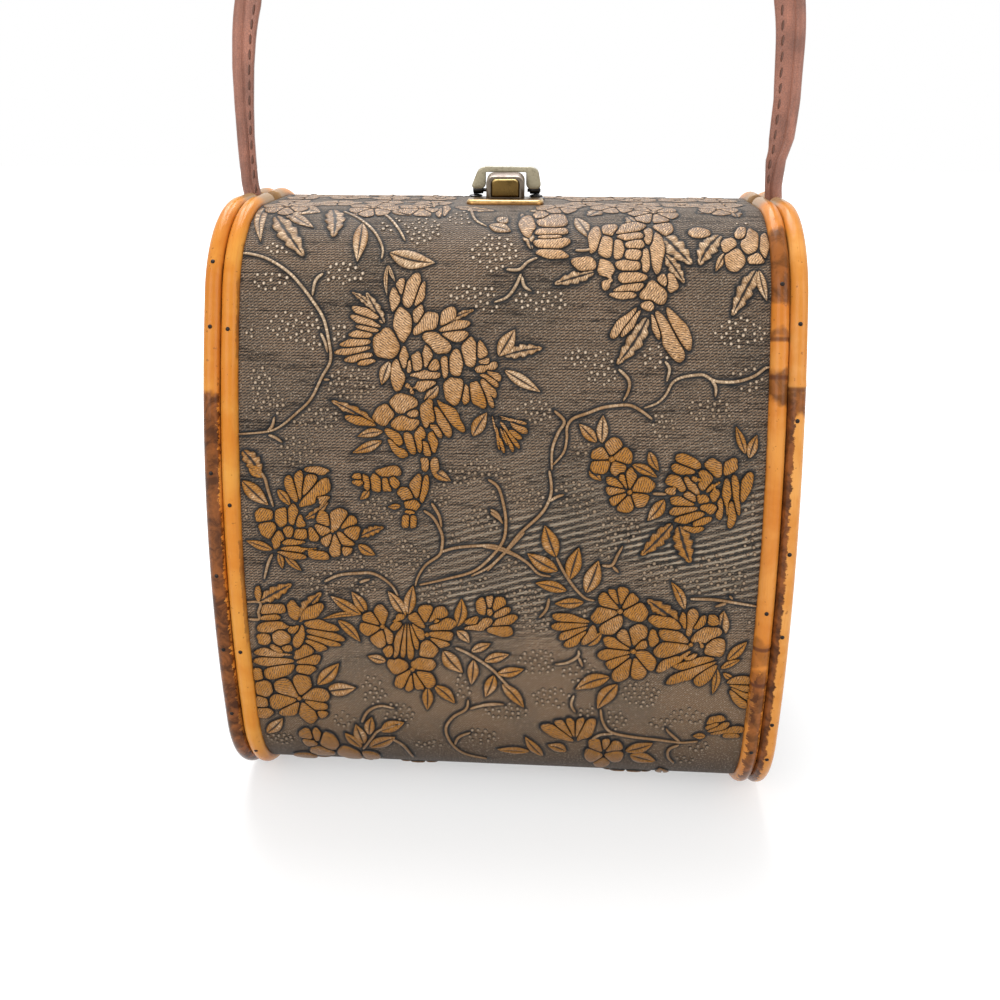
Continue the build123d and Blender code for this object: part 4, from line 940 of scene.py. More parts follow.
def makeBrocade():
    draw = random.Random(7)
    flowers, leaves, stems, berries = Motifs(), Motifs(), Motifs(), Motifs()
    rows = [("round",) + row for row in roundPetals] + [("ray",) + row for row in rayPetals]
    for x, s, radius, count, turn in rosettes:
        for k in range(count):
            angle = turn + k * 360 / count
            dx, ds = turned(relief["rosetteRoot"], 0, math.radians(angle))
            rows.append(("ray", x + dx, s + ds, radius - relief["rosetteTrim"],
                         radius * relief["rosetteSpread"] / count, angle))
    petals = Petals(rows)
    for k in range(len(rows)):
        addPetal(flowers, petals, k, draw)
    for kind, table in (("plain", plainLeaves + baseLeaves), ("jagged", jaggedLeaves + coverTop)):
        for row in table:
            addLeaf(leaves, petals, kind, *row, draw)
    for x, s, *_ in rosettes:
        addBerry(flowers, x, s, relief["eyeRadius"], draw, relief["eyeSides"])
    for x, s, radius in flowerButtons:
        addBerry(flowers, x, s, radius * relief["eyeShare"], draw, relief["eyeSides"])
    for run in stemRuns:
        addStem(stems, beneathCane(run[0]) + run + beneathCane(run[-1]), draw)

    rims = np.concatenate([rim for group in (flowers, leaves, stems) for rim in group.rims])
    taken = rimTree(rims)
    rimClear, petalClear = relief["berryClear"]
    spots = []
    for x0, s0, across, up, number in berryClusters:
        count = round(number * relief["berryShare"])
        tries = made = 0
        while made < count and tries < count * relief["berryTries"]:
            tries += 1
            reach, angle = math.sqrt(draw.random()), draw.uniform(0, fullTurn)
            x, s = x0 + reach * across / 2 * math.cos(angle), s0 + reach * up / 2 * math.sin(angle)
            if abs(x) > relief["berryReach"]:
                continue
            if any(math.hypot(x - a, s - b) < relief["berryGap"] for a, b in spots):
                continue
            here = np.array([x]), np.array([s])
            if taken.find((x, s, 0))[2] < rimClear or petals.nearest(*here)[0] < petalClear:
                continue
            spots.append((x, s))
            made += 1
            addBerry(berries, x, s, relief["berryRadius"] * draw.uniform(0.85, 1.12), draw)
    pieces = {}
    for key, group in (("petals", flowers), ("leaves", leaves), ("stems", stems), ("berries", berries)):
        print("brocade:", len(group.rims), key)
        pieces[key] = group.build("front_cover_" + key)
    return pieces, rims


ground = {
    "step": 0.86, "start": 3.0, "endGap": 0.3,
    "hollow": ((0.72, 0.8), (0.28, 2.6)),  # two parts of the hollow by a rim: its share and its reach
    "hollowDepth": 0.10, "ridge": 0.09, "fold": 0.16,
    "foldMiddle": 163, "foldReach": 27, "foldPitch": 7.0,
    "edgeDrop": 0.35,
}


def makeGround(rims):
    # the leatherette sheet itself, closed behind, with hollows beside every motif; how near each point lies
    # to a motif is also kept for the painted shade in those hollows
    near = rimTree(rims)
    half, behind = case["sheetHalfWidth"], -case["coverThickness"]
    s0, s1 = ground["start"], coverLine.length - ground["endGap"]
    columns, rows = int(2 * half / ground["step"]) + 1, int((s1 - s0) / ground["step"]) + 1
    xs, ss = np.linspace(-half, half, columns), np.linspace(s0, s1, rows)
    hollow, height, crease = np.zeros((3, rows, columns))
    (sharp, sharpReach), (wide, wideReach) = ground["hollow"]
    for i, s in enumerate(ss):
        for j, x in enumerate(xs):
            d = near.find((x, s, 0))[2]
            hollow[i, j] = sharp * math.exp(-(d / sharpReach) ** 2) + wide * math.exp(-d / wideReach)
            ridge = noise.noise((x * 0.03, s * 0.19, 0.4)) * ground["ridge"]
            # soft diagonal folds across the middle, where the sheet is pulled
            wander = noise.noise((x * 0.02, s * 0.03, 7.7))
            envelope = math.exp(-((s - ground["foldMiddle"] - x * 0.10) / ground["foldReach"]) ** 2)
            envelope *= 0.45 + 0.55 * math.tanh((x + 30) / 25)
            phase = (s - 0.30 * x + 0.0016 * x * x) / ground["foldPitch"] + wander * 4
            crease[i, j] = envelope * (0.4 + 1.3 * max(0, noise.noise((x * 0.04, s * 0.09, 1.3)) + 0.35))
            fold = ground["fold"] * envelope * math.sin(phase * fullTurn)
            height[i, j] = ridge + fold - ground["hollowDepth"] * hollow[i, j]
    margin = np.clip(half - np.abs(xs), 0, 1)[None, :] * np.ones((rows, 1))
    height = height * margin - ground["edgeDrop"] * (1 - margin) ** 2
    sGrid, xGrid = np.meshgrid(ss, xs, indexing="ij")
    parts = [onCover(xGrid.ravel(), sGrid.ravel(), height.ravel())]
    flat = [np.stack([xGrid.ravel(), sGrid.ravel()], axis=-1)]
    for side in (-1, 1):
        parts.append(onCover(np.full(rows, side * half), ss, np.full(rows, behind)))
        flat.append(np.stack([np.full(rows, side * (half - behind)), ss], axis=-1))
    a, b = rows * columns, rows * columns + rows
    faces = [(i * columns + j, i * columns + j + 1, (i + 1) * columns + j + 1, (i + 1) * columns + j)
             for i in range(rows - 1) for j in range(columns - 1)]
    for i in range(rows - 1):
        left, right = i * columns, (i + 1) * columns - 1
        faces.append((a + i, left, left + columns, a + i + 1))
        faces.append((right, b + i, b + i + 1, right + columns))
        faces.append((b + i, a + i, a + i + 1, b + i + 1))
    faces.append((a, b, *range(columns - 1, -1, -1)))
    faces.append((b + rows - 1, a + rows - 1, *range((rows - 1) * columns, rows * columns)))
    flat = np.concatenate(flat) * 0.01
    uvs = [flat[k] for face in faces for k in face]
    values = {"hollow": np.append(hollow, np.zeros(2 * rows)),
              "crease": np.append(crease, np.zeros(2 * rows))}
    piece = buildMesh("front_cover_ground", np.concatenate(parts), faces, uvs, values)
    makeActive(piece)
    bpy.ops.object.shade_smooth_by_angle(angle=math.radians(40))
    return piece


def groundMaterial():
    look = newMaterial("brocade ground", 0.5, Specular_IOR_Level=0.14)
    flat, height = look.flat(), look.height()
    ribs = look.wave(flat, 1.05, "Y", 1.6, 2.0, 0.9)
    stitches = look.wave(look.flat(turn=0.95), 0.9, "X", 2.6, 2.0, 1.3)
    twill = look.wave(look.flat(turn=0.75), 0.72, "X", 0.8, 1.0)
    low = look.step(look.plus(height, look.times(look.noise(flat, 0.02, 2.0), 0.04)), 0.125, 0.065)
    knots = look.times(look.plus(look.times(ribs, 0.72), 0.28), look.plus(look.times(stitches, 0.75), 0.25))
    weave = look.add("Mix", {"data_type": "FLOAT"}, i0=low, i2=knots, i3=twill).outputs[0]
    speckle = look.noise(flat, 1.5, 2.0, 0.75)
    hue = look.noise(look.flat((60, 140, 100), place=(3, 1, 0)), 1.0, 2.0, 0.7)
    cloud = look.noise(flat, 0.03, 4.0, 0.55)
    colour = look.layered(
        look.mix(low, (0.225, 0.150, 0.095), (0.205, 0.132, 0.078)),
        (look.step(cloud, 0.40, 0.66), 1.0, (0.150, 0.106, 0.070)),
        (look.step(hue, 0.50, 0.68), 0.6, (0.25, 0.140, 0.068)),
        # greyed where the light grazes the bend at the top
        (look.step(height, 0.216, 0.230), 0.8, (0.150, 0.110, 0.080)),
        # painted shade: browner and darker where the sheet turns under, away from the light
        (look.step(height, 0.050, 0.012), 0.92, (0.038, 0.021, 0.011)),
        (look.step(weave, 0.60, 0.10), look.minus(1.0, look.times(low, 0.55)), (0.022, 0.020, 0.019)),
        (look.step(speckle, 0.55, 0.70), 0.85, (0.46, 0.37, 0.28)))
    # dark cracks that run across where the sheet was bent
    crack = look.noise(look.flat((2.2, 30, 1)), 1.0, 6.0, 0.62, 0.1)
    patchy = look.step(look.noise(look.flat((4, 16, 1)), 1.0, 2.0), 0.40, 0.56)
    cracks = look.times(look.times(look.step(look.apart(crack, 0.5), 0.016, 0.003), patchy),
                        look.minus(1.0, low))
    crease = look.attribute("crease")
    hair = look.wave(look.flat(turn=-0.28), 2.5, "Y", 5.0, 2.0, 0.22)
    colour = look.layered(
        colour,
        (cracks, 0.9, (0.014, 0.012, 0.012)),
        # painted shade and painted highlight along the fold lines of the sheet
        (look.times(look.step(hair, 0.42, 0.05), crease), 0.8, (0.030, 0.026, 0.022)),
        (look.times(look.step(hair, 0.62, 0.97), crease), 0.55, (0.42, 0.35, 0.26)),
        # painted shade in the hollow beside every motif
        (look.step(look.attribute("hollow"), 0.06, 0.82), 0.92, (0.019, 0.021, 0.023)))
    shape = look.plus(look.minus(weave, cracks), look.times(look.times(hair, crease), 1.6))
    return look.finish(Base_Color=colour, Roughness=look.plus(0.42, look.times(speckle, 0.2)),
                       Normal=look.bump(shape, 0.7, 0.0003))


def motifMaterial(name, base, top, groove, strokes=1.0, vary=1.6, rim=0.45):
    # raised work: painted shade in the grooves and at the rims, broken stitch strokes across, paler towards
    # the top as painted sheen
    look = newMaterial(name, 0.36, Specular_IOR_Level=0.22)
    turn = 0.62
    edge, tone, height = look.attribute("edge"), look.attribute("tone"), look.height()
    stroke = look.wave(look.flat(turn=turn), 0.80, "X", 4.6, 3.0, 1.0)
    broken = look.step(look.noise(look.flat((70, 70, 1), turn), 1.0, 2.0, 0.6), 0.36, 0.54)
    fine = look.noise(look.flat((150, 40, 1), turn), 1.0, 3.0, 0.65)
    patch = look.noise(look.body(), 0.085)
    mottle = look.noise(look.flat((100, 100, 1), place=(5, 2, 0)), 0.75, 3.0, 0.65)
    marks = look.times(look.step(stroke, 0.50, 0.05), broken)
    # paler towards the top as painted sheen, and paler in random patches and by each piece's tone
    pale = look.plus(look.step(height, 0.14, 0.215), look.swing(patch, vary, 0.52))
    pale = look.plus(pale, look.swing(tone, 0.35), True)
    colour = look.layered(
        look.mix(pale, base, top),
        (tone, 0.35, shade(base, 0.62)),
        # painted sheen: greyed and darkened where the light grazes the bend at the top
        (look.step(height, 0.218, 0.229), 0.85, (0.150, 0.104, 0.074)),
        # painted shade: darker where the sheet turns under, away from the light
        (look.step(height, 0.060, 0.014), 0.6, shade(base, 0.30)),
        (look.step(mottle, 0.48, 0.66), 0.55, shade(base, 0.55)),
        # thin pale thread strokes, brightened towards the top as painted highlight
        (look.step(fine, 0.50, 0.62), look.plus(0.12, look.times(pale, 0.78)), shade(top, 1.5)),
        (marks, 0.80 * strokes, shade(groove, 1.5)),
        # painted shade: darker towards each rim and nearly black in the grooves between petals
        (look.step(edge, 0.97, 0.60), rim, shade(base, 0.45)),
        (look.step(edge, 0.66, 0.30), 1.0, groove))
    shape = look.minus(look.times(fine, 0.7), marks)
    return look.finish(Base_Color=colour, Normal=look.bump(shape, 0.7 * strokes, 0.0003))


motifLooks = {  # colours low down, at the top (reached by painted sheen and in patches) and in the grooves (painted shade), then strokes, patchiness and rim (share of painted rim shade)
    "petals": ((0.40, 0.165, 0.022), (0.60, 0.375, 0.205), (0.016, 0.015, 0.015)),
    "leaves": ((0.42, 0.175, 0.025), (0.66, 0.48, 0.31), (0.018, 0.014, 0.012), 0.8, 3.0),
    "stems": ((0.32, 0.175, 0.075), (0.56, 0.42, 0.28), (0.040, 0.026, 0.018), 0.3, 2.6),
    "berries": ((0.32, 0.225, 0.145), (0.66, 0.53, 0.40), (0.036, 0.030, 0.026), 0.0, 1.3, 0.75),
}
brocade, rims = makeBrocade()
brocade["ground"] = makeGround(rims)
for key, piece in brocade.items():
    paint(piece, motifMaterial("raised " + key, *motifLooks[key]) if key in motifLooks else groundMaterial())
    back = mirrored(piece, piece.name.replace("front", "back"))
    settle(piece, "front_half", ("front_cover",) if key == "ground" else ())
    settle(back, "back_half", ("back_cover",) if key == "ground" else ())
print("covers dressed")


cane = {
    "radius": 3.4,
    "girth": 0.94,  # share of the radius that a cane fills beside its neighbour
    "baseGap": 6.0,  # from the middle plane to the lower end
    "topGap": {"front": 1.3, "back": 6.4},  # the back ones leave room for the strap
    "endRound": 1.1, "endSteps": (0, 0.12, 0.4, 0.8),
    "sides": 28, "step": 1.1,
    "nodeSwell": (0.16, 1.2, 1.5), "nodeGroove": (0.13, 0, 0.6),  # height, distance past the node, reach
}
canePlaces = {"left_outer": -102.8, "left_inner": -96.4, "right_inner": 96.4, "right_outer": 102.7}
caneLine = Profile(cane["radius"])

# rings are nodes, in mm along the cane from the base; marks are burns: start and end in mm,
# middle and half width round the cane in turns, depth, raggedness of the edge
burns = {
    "left_outer": {
        "tone": (0.56, 0.185, 0.022), "pale": (0.68, 0.285, 0.050),
        "rings": (),
        "marks": ((-20, 224, -0.07, 0.235, 0.96, 0.11), (-20, 215, -0.34, 0.10, 0.6, 0.05),
                  (60, 110, 0.12, 0.12, 0.6, 0.10)),
    },
    "left_inner": {
        "tone": (0.60, 0.205, 0.022), "pale": (0.68, 0.30, 0.052),
        "rings": (),
        "marks": ((128, 168, 0.26, 0.13, 0.5, 0.03), (232, 262, 0.25, 0.10, 0.5, 0.04)),
    },
    "right_inner": {
        "tone": (0.57, 0.185, 0.024), "pale": (0.68, 0.28, 0.058),
        "rings": (245, 232, 133, 118),
        "marks": ((258, 284, -0.03, 0.30, 0.85, 0.03), (243, 248, 0.0, 0.5, 0.75, 0.01),
                  (223, 234, 0.0, 0.5, 0.8, 0.02), (126, 136, 0.0, 0.5, 0.5, 0.02),
                  (66, 122, 0.02, 0.12, 0.85, 0.10), (100, 124, -0.10, 0.10, 0.6, 0.08)),
    },
    "right_outer": {
        "tone": (0.60, 0.225, 0.035), "pale": (0.72, 0.33, 0.085),
        "rings": (228,),
        "marks": ((-20, 226, -0.24, 0.20, 0.97, 0.055), (219, 229, -0.1, 0.35, 0.9, 0.03)),
    },
}


def makeCane(half, place, x0, rings):
    # swept along the edge of the case, with the slight swelling of each node; the base is worn flat
    start = np.interp(cane["baseGap"], coverLine.y[:50], coverLine.s[:50])
    end = caneLine.length - cane["topGap"][half]
    ends, endRound = np.array(cane["endSteps"]), cane["endRound"]
    s = np.arange(start, end, cane["step"])
    s = np.concatenate([start + ends, s[s > start + 1.2][:-1], end - ends[::-1]])
    s = s[np.concatenate([[True], np.diff(s) > 0])]
    fromEnd = np.clip(np.minimum(s - start, end - s), 0, endRound)
    radius = cane["radius"] - endRound + np.sqrt(endRound ** 2 - (endRound - fromEnd) ** 2)
    for ring in rings:
        for sign, (size, past, reach) in ((1, cane["nodeSwell"]), (-1, cane["nodeGroove"])):
            radius = radius + sign * size * np.exp(-((s - ring - past) / reach) ** 2)
    radius = (radius * cane["girth"] + 0.03 * np.sin(s * 0.05 + x0))[:, None]
    around = np.arange(cane["sides"] + 1) / cane["sides"] - 0.5
    angle = around[:-1] * fullTurn
    y, z = caneLine.at(s[:, None], radius * np.cos(angle))
    points = np.stack([x0 + radius * np.sin(angle), -y, np.maximum(z, 0.0)], axis=-1).reshape(-1, 3) * mm
    faces, uvs = sweptFaces(s, around, ((0, 0), (0, 1), (1, 1), (1, 0)))
    piece = buildMesh(half + "_" + place + "_bamboo", points, faces, uvs)
    if half == "back":
        flipToBack(piece.data)
    return piece


def bambooMaterial(name, colours, seed):
    look = newMaterial(name, 0.26, Specular_IOR_Level=0.13, Coat_Weight=0.06, Coat_Roughness=0.08)
    long, turns = look.split(look.flat((100, 1, 1), place=(0, 0, seed)))[0:2]
    body = look.body(place=(seed * 3, 0, 0))
    fibre = look.noise(look.flat((6, 26, 1), place=(0, 0, seed)), 1.0, 5.0, 0.65)
    blotch = look.noise(body, 0.045, 4.0, 0.6, 0.4)
    freckle = look.noise(body, 0.55, 2.0)
    worn = look.noise(look.flat((12, 8, 1), place=(0, 0, seed + 4)), 1.0, 4.0)
    scorch = look.step(look.noise(body, 0.16, 4.0, 0.65, 0.5), 0.36, 0.66)
    burnt = look.mix(scorch, (0.055, 0.017, 0.006), (0.24, 0.075, 0.018))
    ragged = look.noise(look.flat((42, 5, 1), place=(0, 0, seed + 9)), 1.0, 4.0, 0.7)
    soft = look.noise(body, 0.12)
    colour = look.layered(
        look.mix(look.step(blotch, 0.35, 0.68), colours["tone"], colours["pale"]),
        (look.step(fibre, 0.50, 0.72), 0.30, (0.50, 0.15, 0.02)),
        (look.step(freckle, 0.67, 0.74), 0.55, (0.20, 0.06, 0.015)),
        (look.step(worn, 0.58, 0.75), 0.35, (0.62, 0.22, 0.03)))
    for first, last, middle, reach, depth, jagged in colours["marks"]:
        aside = look.plus(look.apart(turns, middle), look.swing(ragged, jagged * 4))
        within = look.step(aside, reach + 0.012, reach - 0.012)
        place = look.plus(long, look.swing(soft, 14))
        after = look.step(place, first - 1.5, first + 1.5)
        before = look.step(place, last + 1.5, last - 1.5)
        colour = look.layered(colour, (look.times(within, look.times(after, before)), depth, burnt))
    for ring in colours["rings"]:
        away = look.apart(long, ring)
        colour = look.layered(colour, (look.step(away, 1.3, 0.3), 0.8, (0.10, 0.03, 0.012)))
    sideShade = look.plus(look.apart(turns), look.swing(soft, 0.16))
    fromMiddle = look.plus(look.apart(look.split(body)[1]), look.times(soft, 8))
    colour = look.layered(
        colour,
        # painted shade down the sides of each cane, where it meets its neighbour and the sheet
        (look.step(sideShade, 0.16, 0.27), 0.92, (0.115, 0.036, 0.012)),
        # painted sheen: greyed where the canes meet at the top, facing the light from above
        (look.times(look.step(fromMiddle, 26.0, 15.0), look.step(long, 240, 250)), 0.85, (0.30, 0.20, 0.105)))
    return look.finish(Base_Color=colour, Roughness=look.plus(0.15, look.times(fibre, 0.18)),
                       Normal=look.bump(look.plus(fibre, look.times(soft, 0.6)), 0.25, 0.00025))


for seed, (place, x0) in enumerate(canePlaces.items()):
    material = bambooMaterial("bamboo " + place.replace("_", " "), burns[place], seed + 1.0)
    for half in ("front", "back"):
        piece = makeCane(half, place, x0, burns[place]["rings"])
        paint(piece, material)
        settle(piece, half + "_half", (half + "_" + place + "_cane",))
print("canes made")


strap = {
    "x": 103.8, "y": 3.0, "spring": 288.0, "foot": 214.0, "step": 1.6,
    "bead": 2.4, "beadOpening": 138,  # degrees to each side that the bead is round
    "seamThickness": 2.2,
    # outline of the seam from the bead to its edge: share of its width, share of half its thickness
    "seamLine": ((0.05, 0.80), (0.14, 1.02), (0.45, 1.0), (0.70, 0.78), (0.76, 0.98), (0.93, 0.95),
                 (1.0, 0.62)),
    "wrinkle": 1.3, "beadSwell": 0.10,
    "stitchPitch": 5.6, "stitchSize": (1.9, 0.42, 0.42), "stitchPlace": 0.72, "stitchTilt": 0.10,
    "plainEnd": 20,  # without stitches
    # how each strand leans outwards, and how wide its seam is, at heights up to the crown
    "lean": {-1: ((226, 0), (236, 1.5), (266, 1.8), (280, 1.4), (303, -0.4), (392, 0)),
             1: ((226, 0), (236, -1.1), (246, -0.2), (250, 1.0), (254, 2.1), (268, 3.0), (286, 2.9),
                 (303, 2.6), (392, 0))},
    "seam": {-1: ((226, 4.6), (245, 4.3), (254, 4.4), (266, 5.2), (280, 6.0), (303, 7.6), (392, 8.0)),
             1: ((226, 4.0), (236, 4.0), (250, 5.8), (254, 7.1), (268, 7.5), (286, 8.2), (303, 8.8),
                 (392, 8.0))},
    "tongue": {"x": 102.5, "y": 7.1, "z": 205, "size": (2.2, 13, 38), "corner": 4.5, "rim": 1.6, "edge": 0.45,
               "grooveWidth": 0.5, "grooveDepth": 0.35},
}


def strandValue(key, px, pz):
    left, right = (np.interp(pz, *zip(*strap[key][side])) for side in (-1, 1))
    return np.where(np.asarray(px) < 0, left, right)


def strapLine():
    # points, outward directions and distances of the strap from the left foot over the top to the right foot
    x, spring = strap["x"], strap["spring"]
    rise = np.arange(strap["foot"], spring, strap["step"])
    arc = np.linspace(math.pi, 0, 200)
    leg, level = np.ones(len(rise)), np.zeros(len(rise))
    nx, nz = np.concatenate([-leg, np.cos(arc), leg]), np.concatenate([level, np.sin(arc), level])
    px = nx * x
    pz = np.concatenate([rise, spring + x * np.sin(arc), rise[::-1]])
    lean = strandValue("lean", px, pz)
    px, pz = px + nx * lean, pz + nz * lean
    return px, pz, nx, nz, runLength(np.stack([px, pz], axis=-1))


def makeStrap():
    px, pz, nx, nz, along = strapLine()
    width = strandValue("seam", px, pz)
    opening = math.radians(strap["beadOpening"])
    low = strap["bead"] * math.cos(opening)
    bead = strap["bead"] + strap["beadSwell"] * np.sin(along * 0.21) * np.clip((300 - pz) / 60, 0, 1)
    # the right strand is creased near its foot
    wrinkle = np.array([noise.noise((a * 0.16, 0.0, 5.0)) for a in along])
    wrinkle *= np.clip((285 - pz) / 50, 0, 1) * (px > 0)
    rows = [(bead * math.cos(a), bead * math.sin(a)) for a in np.linspace(-opening, opening, 17)]
    for face, line in ((1, strap["seamLine"]), (-1, strap["seamLine"][::-1])):
        for share, thick in line:
            side = face * thick * strap["seamThickness"] / 2 + wrinkle * strap["wrinkle"] * share
            rows.append((low - (width + low) * share, side))
    points = [np.stack([px + nx * out, strap["y"] + side, pz + nz * out], axis=-1) for out, side in rows]
    points = np.stack(points, axis=1).reshape(-1, 3) * mm
    around = np.arange(len(rows) + 1) / len(rows)
    faces, uvs = sweptFaces(along, around, ((0, 0), (1, 0), (1, 1), (0, 1)))
    piece = buildMesh("strap_leather", points, faces, uvs)
    closeMesh(piece, recalc=True)
    return piece


def makeStitches():
    # one thread stitch, copied down both faces of the seam
    px, pz, nx, nz, along = strapLine()
    sin, cos = math.sin(strap["stitchTilt"]), math.cos(strap["stitchTilt"])
    places = []
    for face in (-1, 1):
        y = strap["y"] + face * (strap["seamThickness"] / 2 * 0.80 + 0.12)
        for spot in np.arange(strap["plainEnd"], along[-1] - strap["plainEnd"], strap["stitchPitch"]):
            x, z, ax, az = (np.interp(spot, along, line) for line in (px, pz, nx, nz))
            inward = strandValue("seam", x, z) * strap["stitchPlace"]
            directions = ((-az * cos + ax * sin, 0, ax * cos + az * sin), (0, 1, 0), (ax, 0, az))
            places.append(((x - ax * inward, y, z - az * inward), directions))
    return ballCopies("strap_stitches", 8, 6, strap["stitchSize"], places)


def makeTongue(side):
    # rounded end of the strap, riveted to the end panel, with a groove pressed along its edge
    form = strap["tongue"]
    piece = cubePiece("strap_tongue_left" if side < 0 else "strap_tongue_right", form["size"],
                      (side * form["x"], form["y"], form["z"]))
    roundEdges(piece, lambda place, way: abs(way.x) > 0.9, form["corner"], 6)
    pick(piece, "FACE", lambda place, normal: normal.x * side > 0.9)
    for thickness, depth in ((form["rim"], 0), (form["grooveWidth"], -form["grooveDepth"]),
                             (form["grooveWidth"], form["grooveDepth"])):
        bpy.ops.mesh.inset(thickness=thickness * mm, depth=depth * mm)
    objectMode()
    soften(piece, form["edge"], 3, 30)
    return piece


def leatherMaterial(name, colour, dark, scale=1.0):
    look = newMaterial(name, 0.42, Coat_Weight=0.12, Coat_Roughness=0.3)
    place = look.body()
    pebble = look.add("TexVoronoi", {"feature": "DISTANCE_TO_EDGE"}, Vector=place, Scale=1.15 * scale)
    pebble = pebble.outputs[0]
    grain = look.noise(place, 1.6 * scale, 4.0, 0.6)
    cloud = look.noise(place, 0.06, 4.0, 0.6)
    streak = look.noise(look.body((300, 300, 60)), 1.0, 4.0, 0.6)
    tint = look.layered(
        look.mix(look.step(cloud, 0.35, 0.68), colour, dark),
        (look.step(streak, 0.52, 0.75), 0.45, shade(colour, 1.5)),
        (look.step(pebble, 0.10, 0.0), 0.45, shade(dark, 0.35)))
    shape = look.plus(look.step(pebble, 0.0, 0.16), look.times(grain, 0.8))
    return look.finish(Base_Color=tint, Roughness=look.plus(0.30, look.times(grain, 0.25)),
                       Normal=look.bump(shape, 0.35, 0.0002))


def threadMaterial(name, colour):
    look = newMaterial(name, 0.6)
    twist = look.wave(look.body(turn=(0, 0.6, 0.5)), 0.42, "Z", 0.5)
    return look.finish(Base_Color=look.mix(twist, shade(colour, 0.5), colour),
                       Normal=look.bump(twist, 0.6, 0.0001))


strapLeather = leatherMaterial("strap leather", (0.335, 0.130, 0.080), (0.20, 0.076, 0.046))
thread = threadMaterial("strap thread", (0.17, 0.075, 0.05))
for piece, nodes, material in (
        (makeStrap(), ("strap",), strapLeather), (makeStitches(), (), thread),
        (makeTongue(-1), (), strapLeather), (makeTongue(1), (), strapLeather)):
    paint(piece, material)
    settle(piece, "back_half", nodes)
print("strap made")


def metalMaterial(name, bright, dull, dark, roughness, level=None):
    # old plated metal: painted highlight on the tops and on edges that face up, upright faces left dull, a
    # film and dark specks
    look = newMaterial(name, roughness, 1.0)
    place = look.body()
    film = look.noise(place, 0.22, 5.0, 0.62, 0.3)
    speck = look.noise(place, 1.9, 3.0, 0.6)
    stain = look.noise(place, 0.45, 4.0, 0.7, 0.8)
    scratch = look.noise(look.body((260, 2600, 2600), (0.2, 0.1, 0.3)), 1.0, 3.0, 0.6)
    facing = look.split(look.add("NewGeometry").outputs["Normal"])[2]
    colour = look.mix(look.step(look.plus(facing, look.swing(film, 0.9)), 0.25, 0.70), dull, bright)
    # level faces take a colour of their own, a painted reflection
    if level:
        colour = look.mix(look.step(facing, 0.86, 0.96), colour, level)
    colour = look.layered(
        colour,
        (look.step(film, 0.52, 0.72), 0.5, dull),
        (look.step(stain, 0.50, 0.66), 0.45, dark),
        (look.step(speck, 0.58, 0.72), 0.6, dark))
    return look.finish(Base_Color=colour, Roughness=look.plus(roughness - 0.08, look.times(film, 0.28)),
                       Normal=look.bump(look.plus(film, look.times(scratch, 0.4)), 0.25, 0.00012))


def clothMaterial(name, colour, dark):
    # threads both ways, as streaks that look alike on every wall
    look = newMaterial(name, 0.85, Sheen_Weight=0.25, Sheen_Roughness=0.5)
    weft = look.noise(look.body((220, 1900, 1900)), 1.0, 2.0, 0.6)
    warp = look.noise(look.body((1900, 220, 220)), 1.0, 2.0, 0.6)
    weave = look.plus(weft, warp)
    cloud = look.noise(look.body(), 0.02, 4.0)
    tint = look.layered(look.mix(look.step(weave, 0.80, 1.20), dark, colour), (cloud, 0.4, dark))
    return look.finish(Base_Color=tint, Normal=look.bump(weave, 0.5, 0.0002))


def boardMaterial(name, colour, dark):
    look = newMaterial(name, 0.75)
    grain = look.noise(look.body((60, 900, 900)), 1.0, 6.0, 0.7)
    fleck = look.noise(look.body(), 0.8, 4.0)
    tint = look.mix(look.step(grain, 0.35, 0.65), dark, colour)
    tint = look.layered(tint, (look.step(fleck, 0.55, 0.7), 0.5, dark))
    return look.finish(Base_Color=tint, Normal=look.bump(grain, 0.4, 0.0002))


metalLooks = {  # colours of metal with a painted highlight on top, of dull upright faces and of stains, roughness, colour painted on level faces as their reflection
    "aged brass": ((0.88, 0.62, 0.27), (0.30, 0.155, 0.050), (0.10, 0.055, 0.025), 0.26),
    "plate brass": ((0.66, 0.46, 0.20), (0.28, 0.140, 0.045), (0.12, 0.070, 0.035), 0.26,
                    (0.22, 0.155, 0.095)),
    # the bail's grey-green is a painted reflection of the bright sky
    "brass with painted sky reflection": ((0.48, 0.45, 0.37), (0.30, 0.265, 0.185), (0.11, 0.085, 0.050), 0.34),
    # the housing's grey is a painted reflection, with its own colour on level faces
    "brass with painted grey reflection": ((0.44, 0.37, 0.32), (0.14, 0.115, 0.090), (0.04, 0.030, 0.022), 0.28,
                     (0.25, 0.20, 0.175)),
    # the button: dark brass with a painted highlight along its top
    "dark brass with painted highlight": ((0.90, 0.66, 0.27), (0.115, 0.070, 0.022), (0.05, 0.03, 0.01), 0.26),
    "dark metal": ((0.14, 0.135, 0.14), (0.020, 0.018, 0.017), (0.010, 0.010, 0.010), 0.3),
    "nail steel": ((0.055, 0.045, 0.04), (0.025, 0.02, 0.018), (0.01, 0.01, 0.01), 0.45),
    "hinge brass": ((0.50, 0.37, 0.15), (0.28, 0.20, 0.09), (0.08, 0.05, 0.02), 0.38),
}
metals = {name: metalMaterial(name, *values) for name, values in metalLooks.items()}
endLeather = leatherMaterial("end panel leather", (0.085, 0.050, 0.030), (0.045, 0.026, 0.016), 1.3)
liningCloth = clothMaterial("lining cloth", (0.42, 0.33, 0.22), (0.27, 0.20, 0.13))
caseBoard = boardMaterial("case board", (0.34, 0.22, 0.12), (0.18, 0.11, 0.06))

